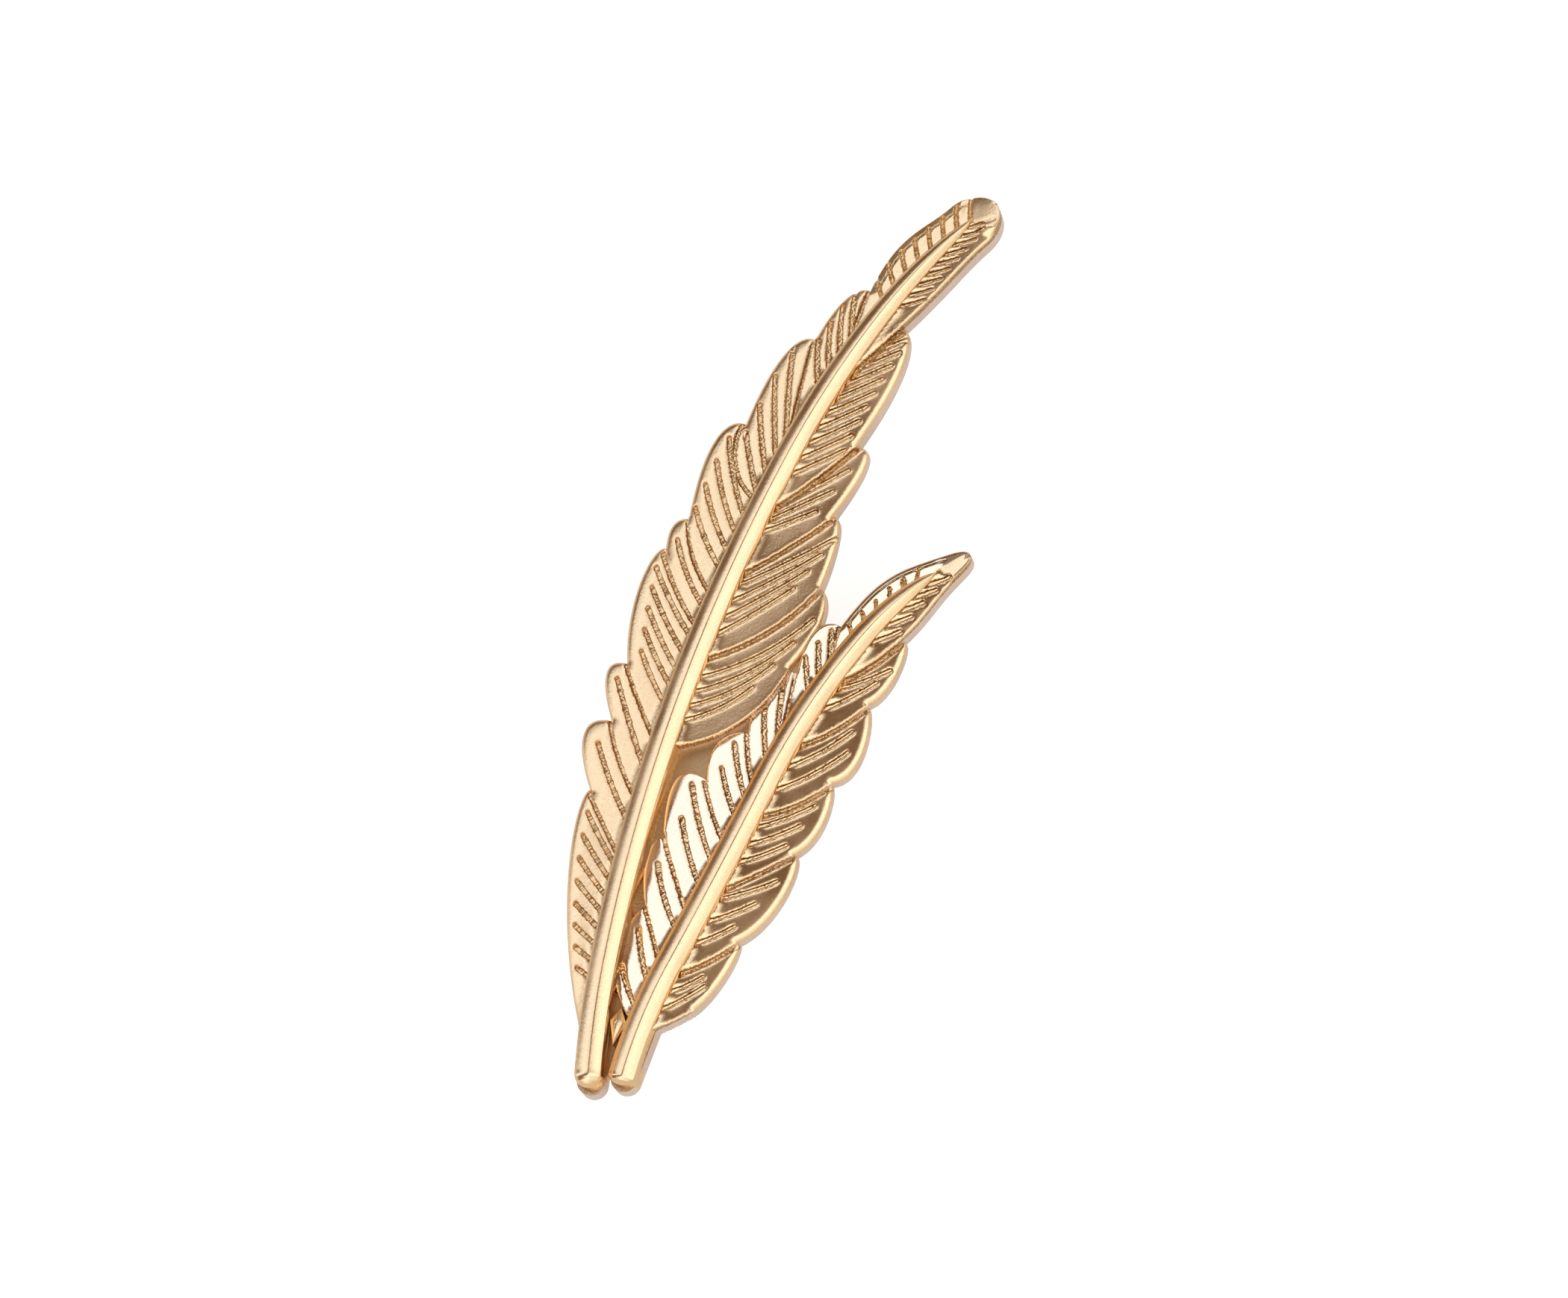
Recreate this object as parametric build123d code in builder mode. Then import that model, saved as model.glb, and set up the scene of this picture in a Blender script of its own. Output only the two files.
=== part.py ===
from build123d import *
from collections import namedtuple
from math import cos, dist, radians, sin
import os

# Feather lapel pin: one casting of two feathers on a thin web, with a tack post and its clutch.
# Millimetres. Z is up out of the pin's face, Y runs along the long feather from foot to tip,
# and the origin is the middle of the clutch's flat face, on which the pin stands.

# Sizes of the two feathers in plan
LONG_QUILL = 61.6
SHORT_QUILL = 39.2
LONG_BARB = 6.2
SHORT_BARB = 5.0
LONG_TIP_LENGTH = 2.2
SHORT_TIP_LENGTH = 2.0
LONG_HEADING = -22.0
SHORT_HEADING = -10.0
QUILL_WIDTH = 1.6
SHORT_FOOT_ACROSS = 1.65
SHORT_FOOT_ALONG = 0.95
POST_ACROSS_FROM_FOOT = -2.35
POST_ALONG_FROM_FOOT = 26.5

# Heights above the flat back of the casting
RIDGE_HEIGHT = 2.1
EDGE_HEIGHT = 1.55
LEAF_STEP = 0.25
QUILL_HEIGHT = 2.8
SHORT_DROP = 0.25
WEB_HEIGHT = 0.9
FOOT_MARGIN = 0.3
FOOT_BASE_HEIGHT = 1.5
FOOT_BASE_LENGTH = 6.0

# Laps and cuts
LEAF_LAP = 0.4
TIP_TUCK = 0.6
GROOVE_WIDTH = 0.3
GROOVE_DEPTH = 0.2
BLOCK_HEIGHT = 2 * QUILL_HEIGHT

# Tack post and clutch
POST_DIAMETER = 1.1
POST_POINT = 1.0
COLLAR_DIAMETER = 4.0
COLLAR_THICKNESS = 0.4
COLLAR_CHAMFER = 0.15
CLUTCH_HEIGHT = 4.4
CLUTCH_BODY_DIAMETER = 7.6
CLUTCH_FLANGE_DIAMETER = 9.6
CLUTCH_FLANGE_THICKNESS = 1.0
CLUTCH_EDGE_RADIUS = 0.35
CLUTCH_SHOULDER_RADIUS = 1.2
CLUTCH_FLOOR = 0.7
BORE_CLEARANCE = 0.05
POST_TIP_CLEARANCE = 0.3
LAPEL_GAP = 4.8

BACK = CLUTCH_HEIGHT + LAPEL_GAP
LONG_FOOT = (-POST_ACROSS_FROM_FOOT, -POST_ALONG_FROM_FOOT)
SHORT_FOOT = (LONG_FOOT[0] + SHORT_FOOT_ACROSS, LONG_FOOT[1] + SHORT_FOOT_ALONG)

# Ways out from the quill
LEFT = -1
RIGHT = 1

# A bend of the quill: its share of the quill's length, and how far it turns clockwise in degrees
Bend = namedtuple("Bend", "share turn")
LONG_BENDS = [Bend(0.13, 8), Bend(0.27, 9), Bend(0.26, 8), Bend(0.17, 10), Bend(0.17, 15)]
SHORT_BENDS = [Bend(0.20, 14), Bend(0.31, -2), Bend(0.26, 13), Bend(0.23, 24)]

Feather = namedtuple("Feather", "foot heading quill barb tip_length bends drop")
LONG = Feather(LONG_FOOT, LONG_HEADING, LONG_QUILL, LONG_BARB, LONG_TIP_LENGTH, LONG_BENDS, 0)
SHORT = Feather(SHORT_FOOT, SHORT_HEADING, SHORT_QUILL, SHORT_BARB, SHORT_TIP_LENGTH, SHORT_BENDS, SHORT_DROP)

# A leaf starts at root, a share of the quill, and its lower side runs out along a barb:
# reach is a share of the feather's barb, opens and closes are the barb's angles to the quill.
# Its outer edge then leaves the notch at the angle flare, with handles as shares of the chord.
Leaf = namedtuple("Leaf", "root reach opens closes flare shoulder crown")

# Engraved strokes of a leaf, from the one nearest the foot to the one nearest the tip
Strokes = namedtuple("Strokes", "count root_1 reach_1 opens_1 root_2 reach_2 opens_2 bend")

LONG_LEFT = [
    (Leaf(0.020, 0.14, 30, 20, 21, 0.62, 0.16), Strokes(8, 0.104, 0.29, 69, 0.210, 0.79, 46, 8)),
    (Leaf(0.221, 0.89, 41, 38, 36, 1.41, 0.06), Strokes(1, 0.255, 1.04, 44, 0.255, 1.04, 44, 13)),
    (Leaf(0.283, 1.00, 47, 26, 36, 1.50, 0.04), Strokes(1, 0.307, 1.17, 37, 0.307, 1.17, 37, 5)),
    (Leaf(0.343, 1.01, 43, 36, 24, 0.66, 0.28), Strokes(5, 0.378, 0.76, 50, 0.451, 1.00, 54, 12)),
    (Leaf(0.466, 1.01, 56, 38, 24, 1.15, 0.04), Strokes(1, 0.484, 0.95, 56, 0.484, 0.95, 56, 22)),
    (Leaf(0.503, 1.00, 60, 24, 16, 1.19, 0.04), Strokes(4, 0.526, 0.86, 56, 0.580, 1.05, 47, 18)),
    (Leaf(0.611, 0.98, 80, 0, 9, 1.16, 0.04), Strokes(4, 0.605, 0.85, 40, 0.659, 1.24, 28, 5)),
    (Leaf(0.662, 1.33, 19, 13, 5, 1.07, 0.04), Strokes(4, 0.727, 0.69, 37, 0.785, 0.75, 36, 8)),
    (Leaf(0.772, 0.94, 18, 12, 8, 0.30, 0.30), Strokes(8, 0.852, 0.37, 64, 0.970, 0.21, 52, 9)),
]
LONG_RIGHT = [
    (Leaf(0.346, 1.55, 72, 8, 20, 0.96, 0.07), Strokes(4, 0.371, 0.89, 64, 0.417, 1.40, 60, 32)),
    (Leaf(0.438, 1.48, 57, 20, 0, 0.30, 0.50), Strokes(4, 0.457, 1.06, 42, 0.513, 1.24, 45, 8)),
    (Leaf(0.525, 1.19, 40, 30, 11, 1.42, 0.05), Strokes(3, 0.573, 0.73, 45, 0.596, 1.02, 37, 2)),
    (Leaf(0.595, 1.22, 34, 22, 6, 0.94, 0.04), Strokes(9, 0.636, 0.76, 41, 0.778, 0.66, 36, 4)),
    (Leaf(0.730, 1.25, 16, 12, 6, 0.30, 0.30), Strokes(8, 0.843, 0.37, 39, 0.958, 0.37, 26, 6)),
]
SHORT_LEFT = [
    (Leaf(0.060, 0.20, 45, 40, 39, 0.92, 0.10), Strokes(3, 0.078, 0.69, 46, 0.132, 0.92, 38, 10)),
    (Leaf(0.182, 0.90, 43, 42, 44, 0.85, 0.35), Strokes(1, 0.240, 1.06, 57, 0.240, 1.06, 57, 20)),
    (Leaf(0.284, 1.10, 62, 39, 31, 1.41, 0.11), Strokes(2, 0.315, 1.07, 53, 0.355, 1.23, 52, 16)),
    (Leaf(0.396, 0.98, 54, 39, 30, 0.93, 0.04), Strokes(2, 0.434, 0.84, 52, 0.463, 0.94, 47, 14)),
    (Leaf(0.486, 0.94, 40, 30, 29, 0.67, 0.35), Strokes(2, 0.526, 0.96, 37, 0.554, 1.07, 31, 10)),
    (Leaf(0.550, 1.20, 16, 18, 24, 1.15, 0.15), Strokes(3, 0.653, 0.66, 42, 0.703, 0.65, 36, 4)),
    (Leaf(0.690, 0.78, 23, 16, 8, 0.30, 0.30), Strokes(6, 0.770, 0.29, 57, 0.900, 0.26, 48, 6)),
]
SHORT_RIGHT = [
    (Leaf(0.080, 0.76, 54, 38, 26, 0.53, 0.32), Strokes(2, 0.112, 0.80, 50, 0.143, 0.65, 52, 18)),
    (Leaf(0.178, 0.98, 50, 26, 39, 0.50, 0.28), Strokes(3, 0.225, 0.74, 47, 0.309, 0.91, 54, 15)),
    (Leaf(0.320, 1.14, 40, 34, 41, 0.49, 0.21), Strokes(3, 0.372, 0.80, 54, 0.433, 0.94, 53, 18)),
    (Leaf(0.457, 1.10, 57, 25, 54, 0.45, 0.18), Strokes(2, 0.493, 1.20, 48, 0.533, 1.11, 46, 22)),
    (Leaf(0.576, 1.17, 47, 17, 35, 0.43, 0.42), Strokes(2, 0.636, 0.96, 41, 0.681, 0.88, 46, 18)),
    (Leaf(0.686, 1.08, 34, 12, 8, 0.30, 0.30), Strokes(5, 0.763, 0.62, 35, 0.900, 0.44, 25, 8)),
]

# A vane is one side of a feather; tip_half is the end leaf's half width where its tip rounds over
Vane = namedtuple("Vane", "feather side leaves tip_half")
VANES = [
    Vane(LONG, LEFT, LONG_LEFT, 0.32),
    Vane(LONG, RIGHT, LONG_RIGHT, 0.20),
    Vane(SHORT, LEFT, SHORT_LEFT, 0.20),
    Vane(SHORT, RIGHT, SHORT_RIGHT, 0.20),
]
ROUND_HANDLE = 0.55

# How far past a leaf's root the quill's heading is read for its flare, as a share of its reach
FLARE_AT = 0.75

# Sections of a quill: place, width and height, as shares of its length, width and height
Section = namedtuple("Section", "at width height")
QUILL_SECTIONS = [
    Section(0.000, 0.40, 0.72),
    Section(0.004, 0.74, 0.86),
    Section(0.012, 0.96, 0.97),
    Section(0.020, 1.00, 1.00),
    Section(0.100, 1.00, 1.00),
    Section(0.200, 1.00, 1.00),
    Section(0.300, 1.00, 1.00),
    Section(0.400, 1.00, 1.00),
    Section(0.500, 0.98, 1.00),
    Section(0.600, 0.95, 0.99),
    Section(0.700, 0.92, 0.98),
    Section(0.780, 0.88, 0.97),
    Section(0.860, 0.76, 0.95),
    Section(0.920, 0.56, 0.90),
    Section(0.965, 0.25, 0.80),
]

# Corners of the web between the feathers, as shares of each quill, and its one free corner
WEB_LONG = [0.02, 0.18, 0.34, 0.50]
WEB_SHORT = [0.66, 0.44, 0.22, 0.02]
WEB_CORNER_AT = 0.77
WEB_CORNER_OUT = 0.48


def towards(point, heading, length):
    """Point at a length from another; headings turn clockwise from +Y."""
    return point[0] + length * sin(radians(heading)), point[1] + length * cos(radians(heading))


def walk(point, heading, length, turn):
    """End point and heading of an arc that starts at a point and turns clockwise."""
    half = radians(turn) / 2
    chord = length * sin(half) / half if half else length
    return towards(point, heading + turn / 2, chord), heading + turn


def quill_at(feather, station):
    """Point and heading of the quill's middle line at a length from its foot."""
    point = feather.foot
    heading = feather.heading
    left = station
    for bend in feather.bends:
        length = bend.share * feather.quill
        step = min(left, length)
        point, heading = walk(point, heading, step, bend.turn * step / length)
        left -= step
    return point, heading


def barb_at(feather, side, root, reach, opens, closes, share=1):
    """Point and heading on a barb that leaves the quill at opens degrees and ends at closes."""
    point, heading = quill_at(feather, root)
    return walk(point, heading + side * opens, reach * share, side * (closes - opens) * share)


def barb_of(vane, leaf, lap=0, tuck=0):
    """Start, middle and end of a leaf's lower side, moved on by lap and shortened by tuck."""
    root = leaf.root * vane.feather.quill + lap
    reach = leaf.reach * vane.feather.barb - tuck
    steps = [barb_at(vane.feather, vane.side, root, reach, leaf.opens, leaf.closes, s) for s in (0, 0.5, 1)]
    return [point for point, heading in steps], steps[-1][1]


def edge_handles(vane, leaf, start, end, end_heading):
    """Inner control points of a leaf's outer edge."""
    feather = vane.feather
    beside = leaf.root * feather.quill + FLARE_AT * leaf.reach * feather.barb
    heading = quill_at(feather, beside)[1] + vane.side * leaf.flare
    chord = dist(start, end)
    return towards(start, heading, leaf.shoulder * chord), towards(end, end_heading, -leaf.crown * chord)


def leaf_face(vane, number):
    """Outline of a leaf: lower side, outer edge, and the upper side under the next leaf."""
    feather = vane.feather
    leaf = vane.leaves[number][0]
    lower, lower_heading = barb_of(vane, leaf)
    last = number == len(vane.leaves) - 1
    with BuildSketch(Plane.XY.offset(BACK)) as face:
        with BuildLine():
            ThreePointArc(*lower)
            if last:
                station = feather.quill - feather.tip_length
                middle, heading = quill_at(feather, station)
                tip, tip_heading = quill_at(feather, feather.quill)
                half = vane.tip_half * feather.barb
                turn = towards(middle, heading + vane.side * 90, half)
                Bezier(lower[2], *edge_handles(vane, leaf, lower[2], turn, heading), turn)
                ahead = towards(turn, heading, ROUND_HANDLE * feather.tip_length)
                beside = towards(tip, tip_heading + vane.side * 90, ROUND_HANDLE * half)
                Bezier(turn, ahead, beside, tip)
                Line(tip, middle)
                Line(middle, lower[0])
            else:
                upper, heading = barb_of(vane, vane.leaves[number + 1][0], LEAF_LAP, TIP_TUCK)
                handles = edge_handles(vane, leaf, lower[2], upper[2], heading + 180)
                Bezier(lower[2], *handles, upper[2])
                ThreePointArc(upper[2], upper[1], upper[0])
                Line(upper[0], lower[0])
        make_face()
    return face.sketch


def leaf_top(vane, number):
    """Sloping top plane of a leaf: down from the quill outwards, and down under the next leaf."""
    feather = vane.feather
    lower, heading = quill_at(feather, vane.leaves[number][0].root * feather.quill)
    last = number == len(vane.leaves) - 1
    upper_root = 1 if last else vane.leaves[number + 1][0].root
    upper = quill_at(feather, upper_root * feather.quill)[0]
    out = towards(lower, heading + vane.side * 90, feather.barb)
    ridge = BACK + RIDGE_HEIGHT - feather.drop
    a = Vector(*lower, ridge)
    b = Vector(*upper, ridge - LEAF_STEP)
    c = Vector(*out, ridge - (RIDGE_HEIGHT - EDGE_HEIGHT))
    normal = (b - a).cross(c - a)
    if normal.Z < 0:
        normal = normal * -1
    return Plane(origin=a, x_dir=(b - a), z_dir=normal)


def strokes_of(vane, number):
    """Arcs of a leaf's engraved strokes, from under the quill out towards the rim."""
    feather = vane.feather
    strokes = vane.leaves[number][1]
    arcs = []
    for i in range(strokes.count):
        t = i / max(strokes.count - 1, 1)
        root = (strokes.root_1 + t * (strokes.root_2 - strokes.root_1)) * feather.quill
        reach = (strokes.reach_1 + t * (strokes.reach_2 - strokes.reach_1)) * feather.barb
        opens = strokes.opens_1 + t * (strokes.opens_2 - strokes.opens_1)
        closes = opens - strokes.bend
        arcs.append([barb_at(feather, vane.side, root, reach, opens, closes, s)[0] for s in (0, 0.5, 1)])
    return arcs


def make_leaf(vane, number):
    """One leaf as an upright block under its sloping top, with its strokes cut in."""
    top = leaf_top(vane, number)
    with BuildPart() as cutter:
        with BuildSketch(Plane.XY.offset(BACK)):
            for start, middle, end in strokes_of(vane, number):
                SlotArc(Edge.make_three_point_arc((*start, 0), (*middle, 0), (*end, 0)), GROOVE_WIDTH)
        extrude(amount=BLOCK_HEIGHT)
        split(bisect_by=top.offset(-GROOVE_DEPTH), keep=Keep.TOP)
    with BuildPart() as leaf:
        add(leaf_face(vane, number))
        extrude(amount=BLOCK_HEIGHT, dir=(0, 0, 1))
        split(bisect_by=top, keep=Keep.BOTTOM)
        add(cutter.part, mode=Mode.SUBTRACT)
    return leaf.part


def make_quill(feather):
    """A quill: a bar with a rounded crest, lofted along its middle line."""
    with BuildPart() as quill:
        for section in QUILL_SECTIONS:
            (x, y), heading = quill_at(feather, section.at * feather.quill)
            along = (sin(radians(heading)), cos(radians(heading)), 0)
            across = (-cos(radians(heading)), sin(radians(heading)), 0)
            half = section.width * QUILL_WIDTH / 2
            height = section.height * QUILL_HEIGHT - feather.drop
            with BuildSketch(Plane(origin=(x, y, BACK), x_dir=across, z_dir=along)):
                with BuildLine():
                    Polyline((half, height - half), (half, 0), (-half, 0), (-half, height - half))
                    ThreePointArc((-half, height - half), (0, height), (half, height - half))
                make_face()
        loft(ruled=True)
    return quill.part


def make_web():
    """The low plate between the feathers, and the wider base round the feet of the quills."""
    corners = [quill_at(LONG, share * LONG_QUILL)[0] for share in WEB_LONG]
    point, heading = quill_at(SHORT, WEB_CORNER_AT * SHORT_QUILL)
    corners.append(towards(point, heading + LEFT * 90, WEB_CORNER_OUT * SHORT_BARB))
    corners += [quill_at(SHORT, share * SHORT_QUILL)[0] for share in WEB_SHORT]
    with BuildPart() as web:
        with BuildSketch(Plane.XY.offset(BACK)):
            with BuildLine():
                Polyline(*corners, close=True)
            make_face()
        extrude(amount=WEB_HEIGHT)
        for feather in (LONG, SHORT):
            radius = QUILL_WIDTH / 2 + FOOT_MARGIN
            with BuildSketch(Plane.XY.offset(BACK)):
                with Locations(*[quill_at(feather, s)[0] for s in (QUILL_WIDTH / 2, FOOT_BASE_LENGTH)]):
                    Circle(radius)
                make_hull()
            extrude(amount=FOOT_BASE_HEIGHT - feather.drop)
    return web.part


def make_post():
    """The tack post with its solder collar, under the back of the casting."""
    radius = POST_DIAMETER / 2
    tip = CLUTCH_FLOOR + POST_TIP_CLEARANCE
    collar = COLLAR_DIAMETER / 2
    under = BACK - COLLAR_THICKNESS
    root = BACK + WEB_HEIGHT / 2
    with BuildPart() as post:
        with BuildSketch(Plane.XZ):
            with BuildLine():
                Polyline(
                    (0, tip),
                    (radius, tip + POST_POINT),
                    (radius, under),
                    (collar - COLLAR_CHAMFER, under),
                    (collar, under + COLLAR_CHAMFER),
                    (collar, root),
                    (0, root),
                    close=True,
                )
            make_face()
        revolve(axis=Axis.Z)
    return post.part


with BuildPart() as feather_casting:
    leaves = [make_leaf(vane, number) for vane in VANES for number in range(len(vane.leaves))]
    add([make_web(), make_post()])
    add(leaves)
    add([make_quill(LONG), make_quill(SHORT)])

with BuildPart() as clutch:
    body = CLUTCH_BODY_DIAMETER / 2
    flange = CLUTCH_FLANGE_DIAMETER / 2
    with BuildSketch(Plane.XZ):
        with BuildLine():
            Polyline(
                (0, 0),
                (flange, 0),
                (flange, CLUTCH_FLANGE_THICKNESS),
                (body, CLUTCH_FLANGE_THICKNESS),
                (body, CLUTCH_HEIGHT),
                (0, CLUTCH_HEIGHT),
                close=True,
            )
        make_face()
    revolve(axis=Axis.Z)
    rims = clutch.edges().filter_by(GeomType.CIRCLE).group_by(Axis.Z)
    fillet(rims[0] + rims[1].sort_by(SortBy.RADIUS)[-1:], CLUTCH_EDGE_RADIUS)
    fillet(clutch.edges().filter_by(GeomType.CIRCLE).group_by(Axis.Z)[-1], CLUTCH_SHOULDER_RADIUS)
    with BuildSketch(Plane.XY.offset(CLUTCH_HEIGHT)):
        Circle(POST_DIAMETER / 2 + BORE_CLEARANCE)
    extrude(amount=CLUTCH_FLOOR - CLUTCH_HEIGHT, mode=Mode.SUBTRACT)

feather_casting.part.label = "feather_casting"
clutch.part.label = "clutch"

os.makedirs("parts", exist_ok=True)
export_step(feather_casting.part, "parts/feather_casting.step")
export_step(clutch.part, "parts/clutch.step")

centre = feather_casting.part.center(CenterOf.MASS)
print("solids", len(feather_casting.part.solids()), "volume", round(feather_casting.part.volume, 1))
print("centre of mass", round(centre.X, 2), round(centre.Y, 2), round(centre.Z, 2))
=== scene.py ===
from collections import namedtuple
from math import cos, dist, pi, radians, sin, tan
import bmesh
import bpy
import numpy as np
from mathutils import Matrix, Vector
from mathutils.geometry import delaunay_2d_cdt


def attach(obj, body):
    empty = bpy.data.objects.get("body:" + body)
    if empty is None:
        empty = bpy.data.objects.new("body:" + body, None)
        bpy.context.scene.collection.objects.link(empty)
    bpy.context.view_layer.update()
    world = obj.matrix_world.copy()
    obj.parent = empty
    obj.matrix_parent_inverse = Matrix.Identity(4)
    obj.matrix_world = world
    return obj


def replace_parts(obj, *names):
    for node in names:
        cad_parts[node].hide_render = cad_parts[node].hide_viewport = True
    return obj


# Feather lapel pin. Shapes are worked out in millimetres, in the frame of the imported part:
# Z is up out of the pin's face, Y runs along the long feather, and the pin stands on its clutch.
# finish_piece scales each finished mesh to metres.
MM = 0.001

# Sizes of the two feathers in plan
LONG_QUILL = 61.6
SHORT_QUILL = 39.2
LONG_BARB = 6.2
SHORT_BARB = 5.0
LONG_TIP_LENGTH = 2.2
SHORT_TIP_LENGTH = 2.0
LONG_HEADING = -22.0
SHORT_HEADING = -10.0
QUILL_WIDTH = 1.6
SHORT_FOOT_ACROSS = 1.65
SHORT_FOOT_ALONG = 0.95
POST_ACROSS_FROM_FOOT = -2.35
POST_ALONG_FROM_FOOT = 26.5

# Heights above the flat back of the casting
RIDGE_HEIGHT = 2.1
EDGE_HEIGHT = 1.55
LEAF_STEP = 0.25
QUILL_HEIGHT = 2.8
SHORT_DROP = 0.25
WEB_HEIGHT = 0.8
FOOT_MARGIN = 0.06
FOOT_BASE_HEIGHT = 1.5
FOOT_BASE_LENGTH = 6.0

# Laps and cuts
LEAF_LAP = 0.4
TIP_TUCK = 0.6
GROOVE_WIDTH = 0.34
GROOVE_DEPTH = 0.2
STROKE_BOWL = 0.3
BORDER_BOWL = 0.75
STEP_RADIUS = 0.12
GROOVE_WALL = 0.05
PILLOW_RUN = 0.18
PILLOW_DROP = 0.024
BORDER_SOFTNESS = 0.15
BORDER_FALL = 0.5
BEVEL_FALL = 0.11
BORDER_RIM = 0.12
TIP_LEAN = 0.27
TIP_REACH = 2.3
TIP_BLEND = 0.6
TIP_CLEAR = 1.65
CLEAR_BLEND = 0.2
MIDDLE_START = 0.9
EDGE_RUN = 1.0
ROOT_RUN = 0.55
ROOT_RISE = 0.12
SCALLOP_LENGTH = 0.17
SCALLOP_SIZE = 0.02
DEPTH_RIPPLE = 0.15
FLOOR_LEAST = 0.6
BORDER_WIDTH = 0.14
BORDER_BLEND = 0.24
BORDER_SKIP_FIRST = 3
BORDER_SKIP_LAST = 10
DEEPEST = 0.84
JAG_SPACING = 0.06
JAG_SIZE = 0.035

# Tack post
POST_DIAMETER = 1.1
POST_POINT = 1.0
COLLAR_DIAMETER = 4.0
COLLAR_THICKNESS = 0.4
COLLAR_CHAMFER = 0.15
CLUTCH_HEIGHT = 4.4
CLUTCH_FLOOR = 0.7
POST_TIP_CLEARANCE = 0.3
LAPEL_GAP = 4.8
SOLDER = 0.5
POINT_BLUNT = 0.1
POINT_SHOULDER = 0.9
POINT_SHOULDER_AT = 0.86
POST_SIDES = 64

# Quills
CREST_RISE = 0.47
CREASE_RADIUS = 0.05
LEFT_TILT = radians(45)
CREASE_TILT = radians(6)
TOP_TILT = radians(22)
RIGHT_TILT = radians(45)
ROUND_FOOT = 0.018
LEFT_FLANK = 0.93
RIGHT_FLANK = 0.15
WALL_SHARE = 0.05
CREST_SHARE = 0.85
ROOT_FLARE = 0.15
QUILL_ROOT = 0.5
QUILL_RINGS = 420
QUILL_SIDES = 61
QUILL_WAVER = 0.04
WAVER_SCALE = 0.35
RING_CROWDING = 0.9
ARC_POINTS = 12
MERGE_GAP = 0.002

# Tops of the feet, and the small ridge between them, at lengths along the quills
FOOT_LEDGE = 0.01
FOOT_BASE_START = 0.52
RIDGE_START = 2.6
RIDGE_END = 5.4
RIDGE_HALF = 0.50
RIDGE_SHOULDER = 1.7
RIDGE_TOP = 2.0
RIDGE_WAIST_AT = 0.62
RIDGE_CROWN_IN = 0.86

BACK = CLUTCH_HEIGHT + LAPEL_GAP
LONG_FOOT = (-POST_ACROSS_FROM_FOOT, -POST_ALONG_FROM_FOOT)
SHORT_FOOT = (LONG_FOOT[0] + SHORT_FOOT_ACROSS, LONG_FOOT[1] + SHORT_FOOT_ALONG)

# Fall of a leaf's roof from the quill outwards, per length
ROOF_LEAN = (RIDGE_HEIGHT - EDGE_HEIGHT) / LONG_BARB

# A face is a side while the part of its normal along Z is smaller than this
SIDE_TILT = 0.6

# Spacing of the points that make a leaf's face
EDGE_SPACING = 0.09
STROKE_SPACING = 0.055
FIELD_SPACING = 0.17
POINT_GAP = 0.03
SEAM_LAP = -0.15
RIM_ROWS = [0.02, 0.06, 0.12, 0.20, 0.30, 0.42]
STEP_ROWS = [0.02, 0.05, 0.09]
STROKE_ROWS = [0.40, 0.70, 0.86, 1.00, 1.20, 1.55, 2.05]
FIELD_ROW = 0.87
FIELD_GAP = 0.6
EDGE_MARGIN = 0.9

# Values of a noise between which it swings, for the sides of the strokes and for their floors
NOISE_LOW = 0.3
NOISE_HIGH = 0.7
FLOOR_NOISE_LOW = 0.35
FLOOR_NOISE_HIGH = 0.65

# Camera: where it looks from the long feather's foot, how it leans, and its lens
LOOK_ACROSS_FROM_FOOT = -1.07
LOOK_ALONG_FROM_FOOT = 29.5
PIN_ROLL = 23.57
CAMERA_LEAN = 19.0
CAMERA_LEAN_TOWARDS = -58.0
LENS = 120.0
SENSOR = 36.0
PICTURE_WIDTH = 2100
PICTURE_PIXELS_PER_MM = 22.0

LEFT = -1
RIGHT = 1

# A bend of the quill: its share of the quill's length, and how far it turns clockwise in degrees
Bend = namedtuple("Bend", "share turn")
LONG_BENDS = [Bend(0.13, 8), Bend(0.27, 9), Bend(0.26, 8), Bend(0.17, 10), Bend(0.17, 15)]
SHORT_BENDS = [Bend(0.20, 14), Bend(0.31, -2), Bend(0.26, 13), Bend(0.23, 24)]

# In a feather, drop is how far its tops lie under the long feather's, end the share of the middle line
# where the raised quill stops, border the width left outside the cells of a bordered leaf, and taper the
# angle at which both edges close in on the middle line where the tip rounds over
Feather = namedtuple("Feather", "foot heading quill barb tip_length bends drop end border taper")
LONG = Feather(
    LONG_FOOT, LONG_HEADING, LONG_QUILL, LONG_BARB, LONG_TIP_LENGTH, LONG_BENDS, 0, 0.971, 0.54, 0
)
SHORT = Feather(
    SHORT_FOOT, SHORT_HEADING, SHORT_QUILL, SHORT_BARB, SHORT_TIP_LENGTH, SHORT_BENDS, SHORT_DROP,
    0.940, 0.37, 15
)

# A leaf starts at root, a share of the quill, and its lower side runs out along a barb:
# reach is a share of the feather's barb, opens and closes are the barb's angles to the quill.
# Its outer edge then leaves the notch at the angle flare, with handles as shares of the chord.
Leaf = namedtuple("Leaf", "root reach opens closes flare shoulder crown")

# Engraved strokes of a leaf, from the one nearest the foot to the one nearest the tip.
# A bordered leaf has one more stroke along its outer edge, which leaves its cells standing free.
Strokes = namedtuple(
    "Strokes", "count root_1 reach_1 opens_1 root_2 reach_2 opens_2 bend width border", defaults=(1.0, False)
)

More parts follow.
